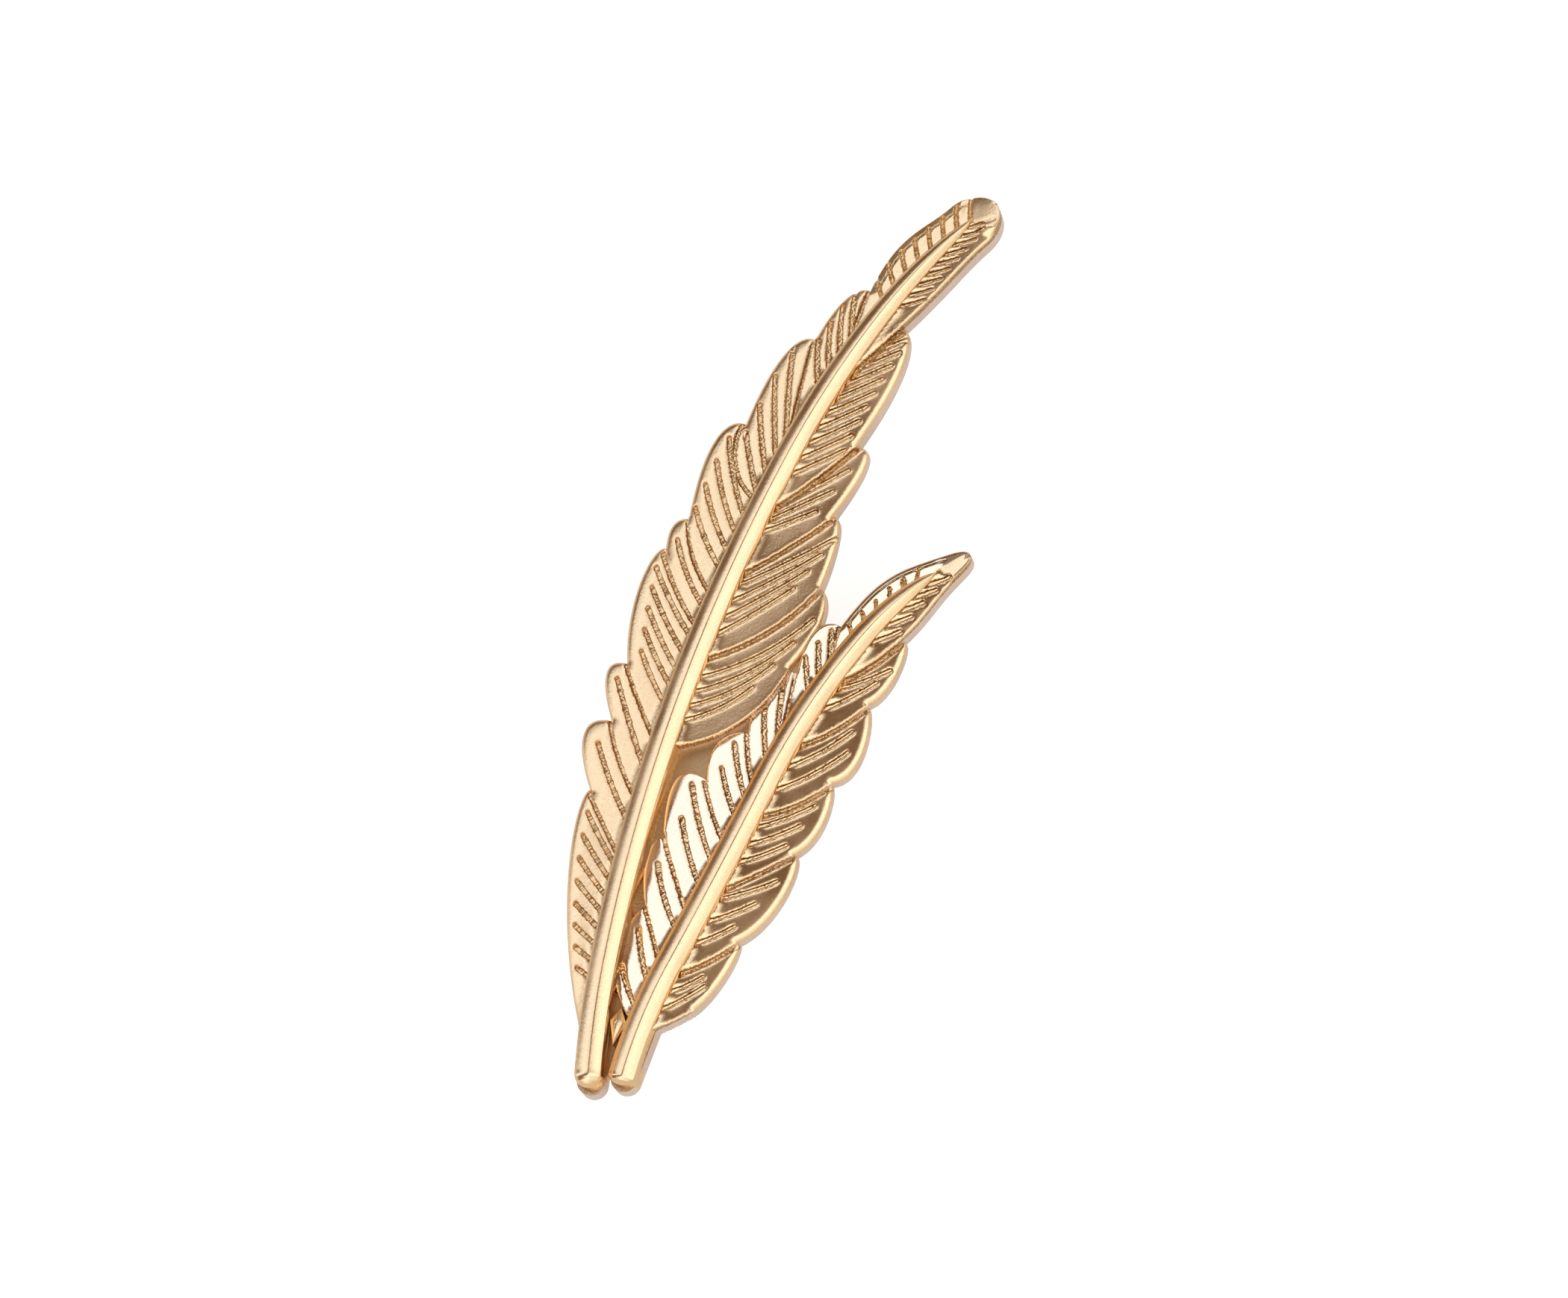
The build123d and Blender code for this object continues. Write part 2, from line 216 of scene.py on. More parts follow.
LONG_LEFT = [
    (Leaf(0.020, 0.14, 30, 20, 21, 0.62, 0.16), Strokes(8, 0.104, 0.29, 69, 0.210, 0.79, 46, 8)),
    (Leaf(0.221, 0.89, 41, 38, 36, 1.41, 0.06), Strokes(1, 0.255, 1.04, 44, 0.255, 1.04, 44, 13)),
    (Leaf(0.283, 1.00, 47, 26, 36, 1.50, 0.04), Strokes(1, 0.307, 1.17, 37, 0.307, 1.17, 37, 5)),
    (Leaf(0.343, 1.01, 43, 36, 24, 0.66, 0.28), Strokes(5, 0.378, 0.76, 50, 0.451, 1.00, 54, 12)),
    (Leaf(0.466, 1.01, 56, 38, 24, 1.15, 0.04), Strokes(1, 0.484, 0.95, 56, 0.484, 0.95, 56, 22)),
    (Leaf(0.503, 1.00, 60, 24, 16, 1.19, 0.04), Strokes(4, 0.526, 0.86, 56, 0.580, 1.05, 47, 18)),
    (Leaf(0.611, 0.98, 80, 0, 9, 1.16, 0.04), Strokes(4, 0.605, 0.85, 40, 0.659, 1.24, 28, 5)),
    (Leaf(0.662, 1.33, 19, 13, 5, 1.07, 0.04), Strokes(4, 0.727, 0.69, 37, 0.785, 0.75, 36, 8)),
    (Leaf(0.772, 0.88, 18, 14, 13.5, 0.56, 0.30),
     Strokes(8, 0.846, 0.38, 62, 0.967, 0.30, 54, 9, 0.95, True)),
]
LONG_RIGHT = [
    (Leaf(0.346, 1.55, 72, 8, 20, 0.96, 0.07), Strokes(4, 0.371, 0.89, 64, 0.417, 1.40, 60, 32)),
    (Leaf(0.438, 1.48, 57, 20, 0, 0.30, 0.50), Strokes(4, 0.457, 1.06, 42, 0.513, 1.24, 45, 8)),
    (Leaf(0.525, 1.19, 40, 30, 11, 1.42, 0.05), Strokes(3, 0.573, 0.73, 45, 0.596, 1.02, 37, 2)),
    (Leaf(0.595, 1.22, 34, 22, 6, 0.94, 0.04), Strokes(9, 0.636, 0.76, 41, 0.778, 0.66, 36, 4)),
    (Leaf(0.730, 1.15, 16, 15, 10.5, 0.50, 0.28), Strokes(9, 0.842, 0.42, 39, 0.957, 0.32, 29, 6, 0.66)),
]
SHORT_LEFT = [
    (Leaf(0.082, 0.72, 53, 37, 30, 0.67, 0.02), Strokes(2, 0.102, 0.76, 48, 0.140, 0.92, 42, 10)),
    (Leaf(0.180, 1.05, 40, 46, 35, 0.83, 0.19), Strokes(1, 0.240, 1.06, 57, 0.240, 1.06, 57, 20)),
    (Leaf(0.270, 1.28, 47, 45, 26, 1.46, 0.03), Strokes(2, 0.315, 1.07, 53, 0.355, 1.23, 52, 16)),
    (Leaf(0.396, 0.98, 54, 39, 30, 0.93, 0.04), Strokes(2, 0.434, 0.84, 52, 0.463, 0.94, 47, 14)),
    (Leaf(0.486, 0.94, 40, 30, 29, 0.67, 0.35), Strokes(2, 0.526, 0.96, 37, 0.554, 1.07, 31, 10)),
    (Leaf(0.550, 1.20, 16, 18, 24, 1.15, 0.15), Strokes(3, 0.653, 0.66, 42, 0.703, 0.65, 36, 4)),
    (Leaf(0.690, 0.80, 23, 20, 4, 0.56, 0.30), Strokes(6, 0.770, 0.29, 57, 0.900, 0.26, 48, 6, 0.8, True)),
]
SHORT_RIGHT = [
    (Leaf(0.080, 0.76, 54, 38, 26, 0.53, 0.32), Strokes(2, 0.112, 0.80, 50, 0.143, 0.65, 52, 18)),
    (Leaf(0.178, 0.98, 50, 26, 39, 0.50, 0.28), Strokes(3, 0.225, 0.74, 47, 0.309, 0.91, 54, 15)),
    (Leaf(0.320, 1.14, 40, 34, 41, 0.49, 0.21), Strokes(3, 0.372, 0.80, 54, 0.433, 0.94, 53, 18)),
    (Leaf(0.457, 1.10, 57, 25, 54, 0.45, 0.18), Strokes(2, 0.493, 1.20, 48, 0.533, 1.11, 46, 22)),
    (Leaf(0.576, 1.17, 47, 17, 35, 0.43, 0.42), Strokes(2, 0.636, 0.96, 41, 0.681, 0.88, 46, 18)),
    (Leaf(0.686, 1.12, 34, 12, 7, 0.40, 0.32), Strokes(5, 0.763, 0.62, 35, 0.900, 0.44, 25, 8)),
]

# A vane is one side of a feather. tip_half is its end leaf's half width where the tip rounds over, as a
# share of the barb, rim the radius of its leaves' outer edges, and fall how far their roofs curve down
# towards that edge.
Vane = namedtuple("Vane", "name feather side leaves tip_half rim fall")
VANES = [
    Vane("long_left_vane", LONG, LEFT, LONG_LEFT, 0.29, 0.35, 0.18),
    Vane("long_right_vane", LONG, RIGHT, LONG_RIGHT, 0.26, 0.36, 0.08),
    Vane("short_left_vane", SHORT, LEFT, SHORT_LEFT, 0.20, 0.20, 0.03),
    Vane("short_right_vane", SHORT, RIGHT, SHORT_RIGHT, 0.20, 0.36, 0.07),
]
ROUND_HANDLE = 0.55
FLARE_AT = 0.75

# Sections of a quill: place, width and height, as shares of its own length, width and height
Section = namedtuple("Section", "at width height")
QUILL_SECTIONS = [
    Section(0.000, 0.00, 0.72),
    Section(0.0015, 0.45, 0.80),
    Section(0.0041, 0.72, 0.88),
    Section(0.0082, 0.93, 0.96),
    Section(0.0144, 1.00, 1.00),
    Section(0.412, 1.00, 1.00),
    Section(0.618, 0.95, 0.99),
    Section(0.721, 0.92, 0.98),
    Section(0.803, 0.88, 0.97),
    Section(0.886, 0.76, 0.95),
    Section(0.947, 0.56, 0.90),
    Section(0.989, 0.25, 0.80),
    Section(1.000, 0.00, 0.76),
]

# Where the web runs along each quill, as shares of its length, and the web's one free corner
WEB_LONG = (0.02, 0.50)
WEB_SHORT = (0.66, 0.02)
WEB_SPACING = 1.0
WEB_CORNER_AT = 0.77
WEB_CORNER_OUT = 0.48

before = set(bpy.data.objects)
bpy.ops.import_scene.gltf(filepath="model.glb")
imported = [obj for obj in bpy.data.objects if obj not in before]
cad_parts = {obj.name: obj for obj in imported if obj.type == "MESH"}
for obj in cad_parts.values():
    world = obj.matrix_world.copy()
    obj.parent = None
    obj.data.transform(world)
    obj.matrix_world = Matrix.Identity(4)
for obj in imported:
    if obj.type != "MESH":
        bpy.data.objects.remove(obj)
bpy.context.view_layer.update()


# Lines in plan

def towards(point, heading, length):
    """Point at a length from another; headings turn clockwise from +Y."""
    return point[0] + length * sin(radians(heading)), point[1] + length * cos(radians(heading))


def walk(point, heading, length, turn):
    """End point and heading of an arc that starts at a point and turns clockwise."""
    half = radians(turn) / 2
    chord = length * sin(half) / half if half else length
    return towards(point, heading + turn / 2, chord), heading + turn


def quill_at(feather, station):
    """Point and heading of the quill's middle line at a length from its foot."""
    point = feather.foot
    heading = feather.heading
    left = station
    for bend in feather.bends:
        length = bend.share * feather.quill
        step = min(left, length)
        point, heading = walk(point, heading, step, bend.turn * step / length)
        left -= step
    return point, heading


def quill_line(feather, start, end, spacing=0.25):
    """Points of the quill's middle line between two lengths from its foot."""
    count = max(int(abs(end - start) / spacing), 2)
    return np.array([quill_at(feather, s)[0] for s in np.linspace(start, end, count + 1)])


def barb_line(vane, root, reach, opens, closes, spacing):
    """Points of an arc that leaves the quill at opens degrees and ends at closes, and its last heading."""
    start, heading = quill_at(vane.feather, root)
    count = max(int(reach / spacing), 3)
    turn = vane.side * (closes - opens)
    first = heading + vane.side * opens
    steps = [walk(start, first, reach * s, turn * s) for s in np.linspace(0, 1, count + 1)]
    return np.array([point for point, _ in steps]), steps[-1][1]


def leaf_barb(vane, leaf, spacing, lap=0, tuck=0):
    """A leaf's lower side, moved on along the quill by lap and shortened by tuck."""
    root = leaf.root * vane.feather.quill + lap
    reach = leaf.reach * vane.feather.barb - tuck
    return barb_line(vane, root, reach, leaf.opens, leaf.closes, spacing)


def bezier(start, first, second, end, count=60):
    """Points of a cubic curve between two ends with two handles."""
    t = np.linspace(0, 1, count + 1)[:, None]
    start, first, second, end = (np.array(p) for p in (start, first, second, end))
    return start * (1 - t) ** 3 + first * 3 * t * (1 - t) ** 2 + second * 3 * t ** 2 * (1 - t) + end * t ** 3


def evenly(points, spacing):
    """The same line with points at an even spacing."""
    steps = np.hypot(*np.diff(points, axis=0).T)
    along = np.concatenate([[0], np.cumsum(steps)])
    wanted = np.linspace(0, along[-1], max(int(round(along[-1] / spacing)), 2) + 1)
    return np.stack([np.interp(wanted, along, points[:, k]) for k in (0, 1)], 1)


def outer_edge(vane, number):
    """A leaf's outer edge, from the end of its lower side to the next leaf or to the feather's tip."""
    feather = vane.feather
    leaf = vane.leaves[number][0]
    lower, _ = leaf_barb(vane, leaf, EDGE_SPACING)
    beside = leaf.root * feather.quill + FLARE_AT * leaf.reach * feather.barb
    flare = quill_at(feather, beside)[1] + vane.side * leaf.flare
    last = number == len(vane.leaves) - 1
    if last:
        middle, heading = quill_at(feather, feather.quill - feather.tip_length)
        half = vane.tip_half * feather.barb
        end = towards(middle, heading + vane.side * 90, half)
        heading -= vane.side * feather.taper
    else:
        upper, heading = leaf_barb(vane, vane.leaves[number + 1][0], EDGE_SPACING, LEAF_LAP, TIP_TUCK)
        heading += 180
        end = upper[-1]
    chord = dist(lower[-1], end)
    handles = towards(lower[-1], flare, leaf.shoulder * chord), towards(end, heading, -leaf.crown * chord)
    edge = bezier(lower[-1], *handles, end)
    if last:
        tip, tip_heading = quill_at(feather, feather.quill)
        ahead = towards(end, heading, ROUND_HANDLE * feather.tip_length)
        side = towards(tip, tip_heading + vane.side * 90, ROUND_HANDLE * half)
        edge = np.vstack([edge, bezier(end, ahead, side, tip)[1:]])
    return evenly(edge, EDGE_SPACING)


def leaf_roof(vane, number):
    """Height of a leaf's sloping top above a point of the plan, as x, y and constant terms."""
    feather = vane.feather
    lower, heading = quill_at(feather, vane.leaves[number][0].root * feather.quill)
    last = number == len(vane.leaves) - 1
    upper_root = 1 if last else vane.leaves[number + 1][0].root
    upper = quill_at(feather, upper_root * feather.quill)[0]
    out = towards(lower, heading + vane.side * 90, feather.barb)
    ridge = BACK + RIDGE_HEIGHT - feather.drop
    corners = np.array([[*lower, 1], [*upper, 1], [*out, 1]])
    heights = np.array([ridge, ridge - LEAF_STEP, ridge - (RIDGE_HEIGHT - EDGE_HEIGHT)])
    return np.linalg.solve(corners, heights)


def leaf_strokes(vane, number):
    """Middle lines of a leaf's engraved strokes, and of the step that the next leaf makes on it."""
    feather = vane.feather
    strokes = vane.leaves[number][1]
    lines = []
    for i in range(strokes.count):
        t = i / max(strokes.count - 1, 1)
        root = (strokes.root_1 + t * (strokes.root_2 - strokes.root_1)) * feather.quill
        reach = (strokes.reach_1 + t * (strokes.reach_2 - strokes.reach_1)) * feather.barb
        opens = strokes.opens_1 + t * (strokes.opens_2 - strokes.opens_1)
        lines.append(barb_line(vane, root, reach, opens, opens - strokes.bend, STROKE_SPACING)[0])
    if number + 1 < len(vane.leaves):
        step = leaf_barb(vane, vane.leaves[number + 1][0], STROKE_SPACING)[0]
        lines.append(inset(step, -vane.side * GROOVE_WIDTH / 4)[:-2])
    return lines


def quill_side(vane, number):
    """The side of the quill along a leaf."""
    feather = vane.feather
    last = number == len(vane.leaves) - 1
    end = feather.end if last else vane.leaves[number + 1][0].root
    places = [s.at for s in QUILL_SECTIONS]
    widths = [s.width for s in QUILL_SECTIONS]
    points = []
    for share in np.linspace(vane.leaves[number][0].root, end, 40):
        width = np.interp(share / feather.end, places, widths)
        point, heading = quill_at(feather, share * feather.quill)
        points.append(towards(point, heading + vane.side * 90, QUILL_WIDTH / 2 * width))
    return np.array(points)


def border_line(vane, number):
    """Middle line of the fine cut that runs along a bordered leaf's outer edge."""
    line = inset(outer_edge(vane, number), vane.side * vane.feather.border)
    return evenly(line[BORDER_SKIP_FIRST:-BORDER_SKIP_LAST], STROKE_SPACING)


def inset(line, distance):
    """A line moved to its left, looking along it, by one distance or by one for each point."""
    along = np.gradient(line, axis=0)
    along /= np.hypot(*along.T)[:, None]
    return line + distance * np.stack([-along[:, 1], along[:, 0]], 1)


def circle_points(middle, radius, turns):
    """Points at some turns, in radians, on a circle round a point of the plan."""
    return np.array(middle) + radius * np.stack([np.cos(turns), np.sin(turns)], 1)


def distance_to(points, line):
    """Distance of each point to a line."""
    a = line[:-1][None]
    ab = np.diff(line, axis=0)[None]
    ap = points[:, None] - a
    t = np.clip((ap * ab).sum(2) / np.maximum((ab ** 2).sum(2), 1e-12), 0, 1)
    return np.hypot(*np.moveaxis(ap - t[..., None] * ab, 2, 0)).min(1)


def inside(points, outline):
    """Whether each point is inside a closed outline."""
    x, y = points.T
    hits = np.zeros(len(points), bool)
    for (x1, y1), (x2, y2) in zip(outline, np.roll(outline, -1, axis=0)):
        crosses = (y1 > y) != (y2 > y)
        hits ^= crosses & (x < x1 + (y - y1) * (x2 - x1) / (y2 - y1 if y2 != y1 else 1))
    return hits


# Leaf blanks

STROKE_LINE = 1
RIM_LINE = 2
STEP_LINE = 3
ROOT_LINE = 4
BORDER_LINE = 5
MIDDLE_LINE = 6


def leaf_sides(vane, number):
    """The four sides of a leaf in plan: lower side, outer edge, upper side and the line under the quill."""
    feather = vane.feather
    leaf = vane.leaves[number][0]
    lower = jagged(leaf_barb(vane, leaf, JAG_SPACING)[0], number)
    edge = outer_edge(vane, number)
    last = number == len(vane.leaves) - 1
    if last:
        upper = edge[-1:]
        upper_root = feather.quill
    else:
        following = vane.leaves[number + 1][0]
        upper = leaf_barb(vane, following, EDGE_SPACING, LEAF_LAP, TIP_TUCK)[0][::-1]
        upper_root = following.root * feather.quill + LEAF_LAP
    inner = quill_line(feather, upper_root, leaf.root * feather.quill)
    return lower, edge, upper, inset(inner, vane.side * SEAM_LAP)


def jagged(line, seed):
    """A line with small chatter marks across it, but for its ends."""
    marks = np.random.default_rng(seed).uniform(-JAG_SIZE, JAG_SIZE, len(line))
    marks[:2] = marks[-4:] = 0
    return inset(line, marks[:, None])


def rows_beside(line, offsets):
    """Points in rows beside a line, at signed distances to its left."""
    return [inset(line, offset) for offset in offsets]


def stroke_points(line, half):
    """Rows of points along a stroke and round its outer end."""
    rows = [line]
    along = line[-1] - line[-2]
    end = np.arctan2(along[1], along[0])
    for share in STROKE_ROWS:
        rows += rows_beside(line, (half * share, -half * share))
        turns = np.linspace(end - pi / 2, end + pi / 2, 7)
        rows.append(circle_points(line[-1], half * share, turns))
    return np.vstack(rows)


class Sieve:
    """Keeps points of a plan that stand clear of those kept before."""

    def __init__(self, gap):
        self.gap = gap
        self.cells = {}
        self.kept = []

    def clear(self, point):
        column, row = int(point[0] // self.gap), int(point[1] // self.gap)
        for i in (column - 1, column, column + 1):
            for j in (row - 1, row, row + 1):
                for other in self.cells.get((i, j), ()):
                    if dist(point, other) < self.gap:
                        return False
        return True

    def note(self, point):
        cell = (int(point[0] // self.gap), int(point[1] // self.gap))
        self.cells.setdefault(cell, []).append(point)

    def add(self, points):
        for point in points:
            if self.clear(point):
                self.note(point)
                self.kept.append(point)


def leaf_blank(vane, number):
    """An upright block under a leaf's roof, with points where its rim and strokes will be cut."""
    lower, edge, upper, inner = leaf_sides(vane, number)
    outline = np.vstack([lower, edge[1:], upper[1:], inner])
    lines = leaf_strokes(vane, number)
    half = GROOVE_WIDTH / 2 * vane.leaves[number][1].width
    borders = [border_line(vane, number)] if vane.leaves[number][1].border else []
    marks = [stroke_points(line, half) for line in lines]
    marks = np.vstack(marks + [stroke_points(line, BORDER_WIDTH / 2) for line in borders])
    rims = np.vstack(rows_beside(edge, [vane.side * d for d in RIM_ROWS]))
    steps = np.vstack(rows_beside(lower, [vane.side * d for d in STEP_ROWS]))
    low, high = outline.min(0), outline.max(0)
    xs = np.arange(low[0], high[0], FIELD_SPACING)
    ys = np.arange(low[1], high[1], FIELD_SPACING * FIELD_ROW)
    field = np.array([(x + (k % 2) * FIELD_SPACING / 2, y) for k, y in enumerate(ys) for x in xs])

    closed = np.vstack([outline, outline[:1]])
    sieve = Sieve(POINT_GAP)
    sieve.add(outline)
    corners = len(sieve.kept)
    for points, margin in ((marks, 2 * POINT_GAP), (rims, 0), (steps, 0)):
        points = points[inside(points, outline)]
        away = distance_to(points, closed)
        sieve.add(points[away > max(margin, RIM_ROWS[0] * EDGE_MARGIN)])
    coarse = Sieve(FIELD_SPACING * FIELD_GAP)
    for point in sieve.kept:
        coarse.note(point)
    coarse.add(field[inside(field, outline)])
    plan = [Vector(p) for p in sieve.kept + coarse.kept]
    ring = [list(range(corners))]
    points, _, triangles, _, _, _ = delaunay_2d_cdt(plan, [], ring, 1, 1e-5)

    a, b, c = leaf_roof(vane, number)
    mesh = bmesh.new()
    top = mesh.verts.layers.float.new("top")
    side = mesh.faces.layers.float.new("side")
    verts = [mesh.verts.new((p.x, p.y, a * p.x + b * p.y + c)) for p in points]
    for vert in verts:
        vert[top] = 1.0
    for triangle in triangles:
        mesh.faces.new([verts[i] for i in triangle])
    bmesh.ops.recalc_face_normals(mesh, faces=mesh.faces)
    if sum(face.normal.z for face in mesh.faces) < 0:
        bmesh.ops.reverse_faces(mesh, faces=mesh.faces)
    rim = [edge for edge in mesh.edges if edge.is_boundary]
    wall = bmesh.ops.extrude_edge_only(mesh, edges=rim)["geom"]
    for vert in (g for g in wall if isinstance(g, bmesh.types.BMVert)):
        vert.co.z = BACK
        vert[top] = 0.0
    # The wall faces are marked as sides, which the plating paints paler and pinker low down as a reflection
    # of the floor, and darker in ticks higher up as shade
    for face in (g for g in wall if isinstance(g, bmesh.types.BMFace)):
        face[side] = 1.0
    bmesh.ops.holes_fill(mesh, edges=[edge for edge in mesh.edges if edge.is_boundary])
    bmesh.ops.recalc_face_normals(mesh, faces=mesh.faces)
    blank = new_piece(f"{vane.name}_blank_{number}", mesh)

    root = quill_side(vane, number)
    kinds = [(STROKE_LINE, line) for line in lines] + [(BORDER_LINE, line) for line in borders]
    middle = quill_line(vane.feather, vane.feather.quill * MIDDLE_START, vane.feather.quill)
    middle = inset(middle, -vane.side * SEAM_LAP)
    kinds += [(RIM_LINE, edge), (STEP_LINE, lower), (ROOT_LINE, root), (MIDDLE_LINE, middle)]
    guide = bmesh.new()
    kind = guide.edges.layers.int.new("kind")
    for number_of_kind, line in kinds:
        knots = [guide.verts.new((x, y, a * x + b * y + c)) for x, y in line]
        for first, second in zip(knots, knots[1:]):
            guide.edges.new((first, second))[kind] = number_of_kind
    return blank, new_piece(f"{vane.name}_lines_{number}", guide)


def new_piece(name, mesh):
    """An object in the scene from a bmesh, which is freed."""
    data = bpy.data.meshes.new(name)
    mesh.to_mesh(data)
    mesh.free()
    piece = bpy.data.objects.new(name, data)
    bpy.context.scene.collection.objects.link(piece)
    return piece


# Node trees

class Reading:
    """A node's output that can stand in sums, each of which adds a Math node to its tree."""

    def __init__(self, socket):
        self.socket = socket
        self.tree = socket.id_data

    def __add__(self, other):
        return calc("ADD", self, other)

    def __sub__(self, other):
        return calc("SUBTRACT", self, other)

    def __rsub__(self, other):
        return calc("SUBTRACT", other, self)

    def __mul__(self, other):
        return calc("MULTIPLY", self, other)

    def __truediv__(self, other):
        return calc("DIVIDE", self, other)

    def __rtruediv__(self, other):
        return calc("DIVIDE", other, self)

    __radd__ = __add__
    __rmul__ = __mul__


class Readings:
    """The outputs of a node, by name or number."""

    def __init__(self, node):
        self.node = node

    def __getitem__(self, key):
        return Reading(self.node.outputs[key])


def add_node(tree, kind, inputs=None, **options):
    """Adds a node to a tree, sets its options, and links or sets its inputs by name or number."""
    node = tree.nodes.new(kind)
    for name, value in options.items():
        setattr(node, name, value)
    for key, value in (inputs or {}).items():
        if isinstance(value, Reading):
            tree.links.new(value.socket, node.inputs[key])
        else:
            node.inputs[key].default_value = value
    return node


def wire(tree, kind, inputs=None, **options):
    """Outputs of a node added to a tree."""
    return Readings(add_node(tree, kind, inputs, **options))


def tree_of(*values):
    """The tree of the first output among some values."""
    return next(value.tree for value in values if isinstance(value, Reading))


def calc(operation, *values):
    """Output of a Math node on outputs or numbers."""
    return wire(tree_of(*values), "ShaderNodeMath", dict(enumerate(values)), operation=operation)[0]


def ramp(value, low, high, at_low, at_high, smooth=True):
    """Output of a Map Range node."""
    inputs = {0: value, 1: low, 2: high, 3: at_low, 4: at_high}
    kind = "SMOOTHSTEP" if smooth else "LINEAR"
    return wire(value.tree, "ShaderNodeMapRange", inputs, interpolation_type=kind)[0]


def blend(factor, first, second):
    """Output that goes from a first value to a second as a factor goes from 0 to 1."""
    return calc("MULTIPLY_ADD", second - first, factor, first)


def vector(tree, operation, first, second, key=1):
    """Outputs of a Vector Math node."""
    return wire(tree, "ShaderNodeVectorMath", {0: first, key: second}, operation=operation)


def named(tree, name, data_type="FLOAT"):
    """Output of a Named Attribute node."""
    return wire(tree, "GeometryNodeInputNamedAttribute", {"Name": name}, data_type=data_type)[0]


def noise(tree, place, scale, detail):
    """Output of a Noise Texture node."""
    return wire(tree, "ShaderNodeTexNoise", {"Vector": place, "Scale": scale, "Detail": detail})[0]


def new_tree(name, kind, inputs, outputs):
    """A new node group with named inputs and outputs; returns it with its inputs by name."""
    tree = bpy.data.node_groups.new(name, kind)
    for label, socket_kind, value in inputs:
        socket = tree.interface.new_socket(label, in_out="INPUT", socket_type=f"NodeSocket{socket_kind}")
        if value is not None:
            socket.default_value = value
    for label, socket_kind in outputs:
        tree.interface.new_socket(label, in_out="OUTPUT", socket_type=f"NodeSocket{socket_kind}")
    return tree, Readings(tree.nodes.new("NodeGroupInput"))


def shape_tree(name, inputs):
    """A new Geometry Nodes tree with named inputs; returns it with its inputs by name."""
    shape = ("Geometry", "Geometry")
    return new_tree(name, "GeometryNodeTree", [(*shape, None), *inputs], [shape])


def end_tree(tree, geometry, finish):
    """Closes a Geometry Nodes tree: instances realized, material set, result put out."""
    real = wire(tree, "GeometryNodeRealizeInstances", {0: geometry})[0]
    done = wire(tree, "GeometryNodeSetMaterial", {"Geometry": real, "Material": finish})[0]
    wire(tree, "NodeGroupOutput", {0: done})


def rounding(distance, radius):
    """How far a rounded rim lies under its flat at a distance from its edge."""
    run = calc("MAXIMUM", radius - distance, 0.0)
    squares = radius * radius - run * run
    return radius - calc("SQRT", calc("MAXIMUM", squares, 0.0))


def easing(distance, run, size):
    """A height that eases from its full size at a line to nothing at a distance from it."""
    left = calc("MINIMUM", calc("MAXIMUM", 1.0 - distance / run, 0.0), 1.0)
    return left * left * size


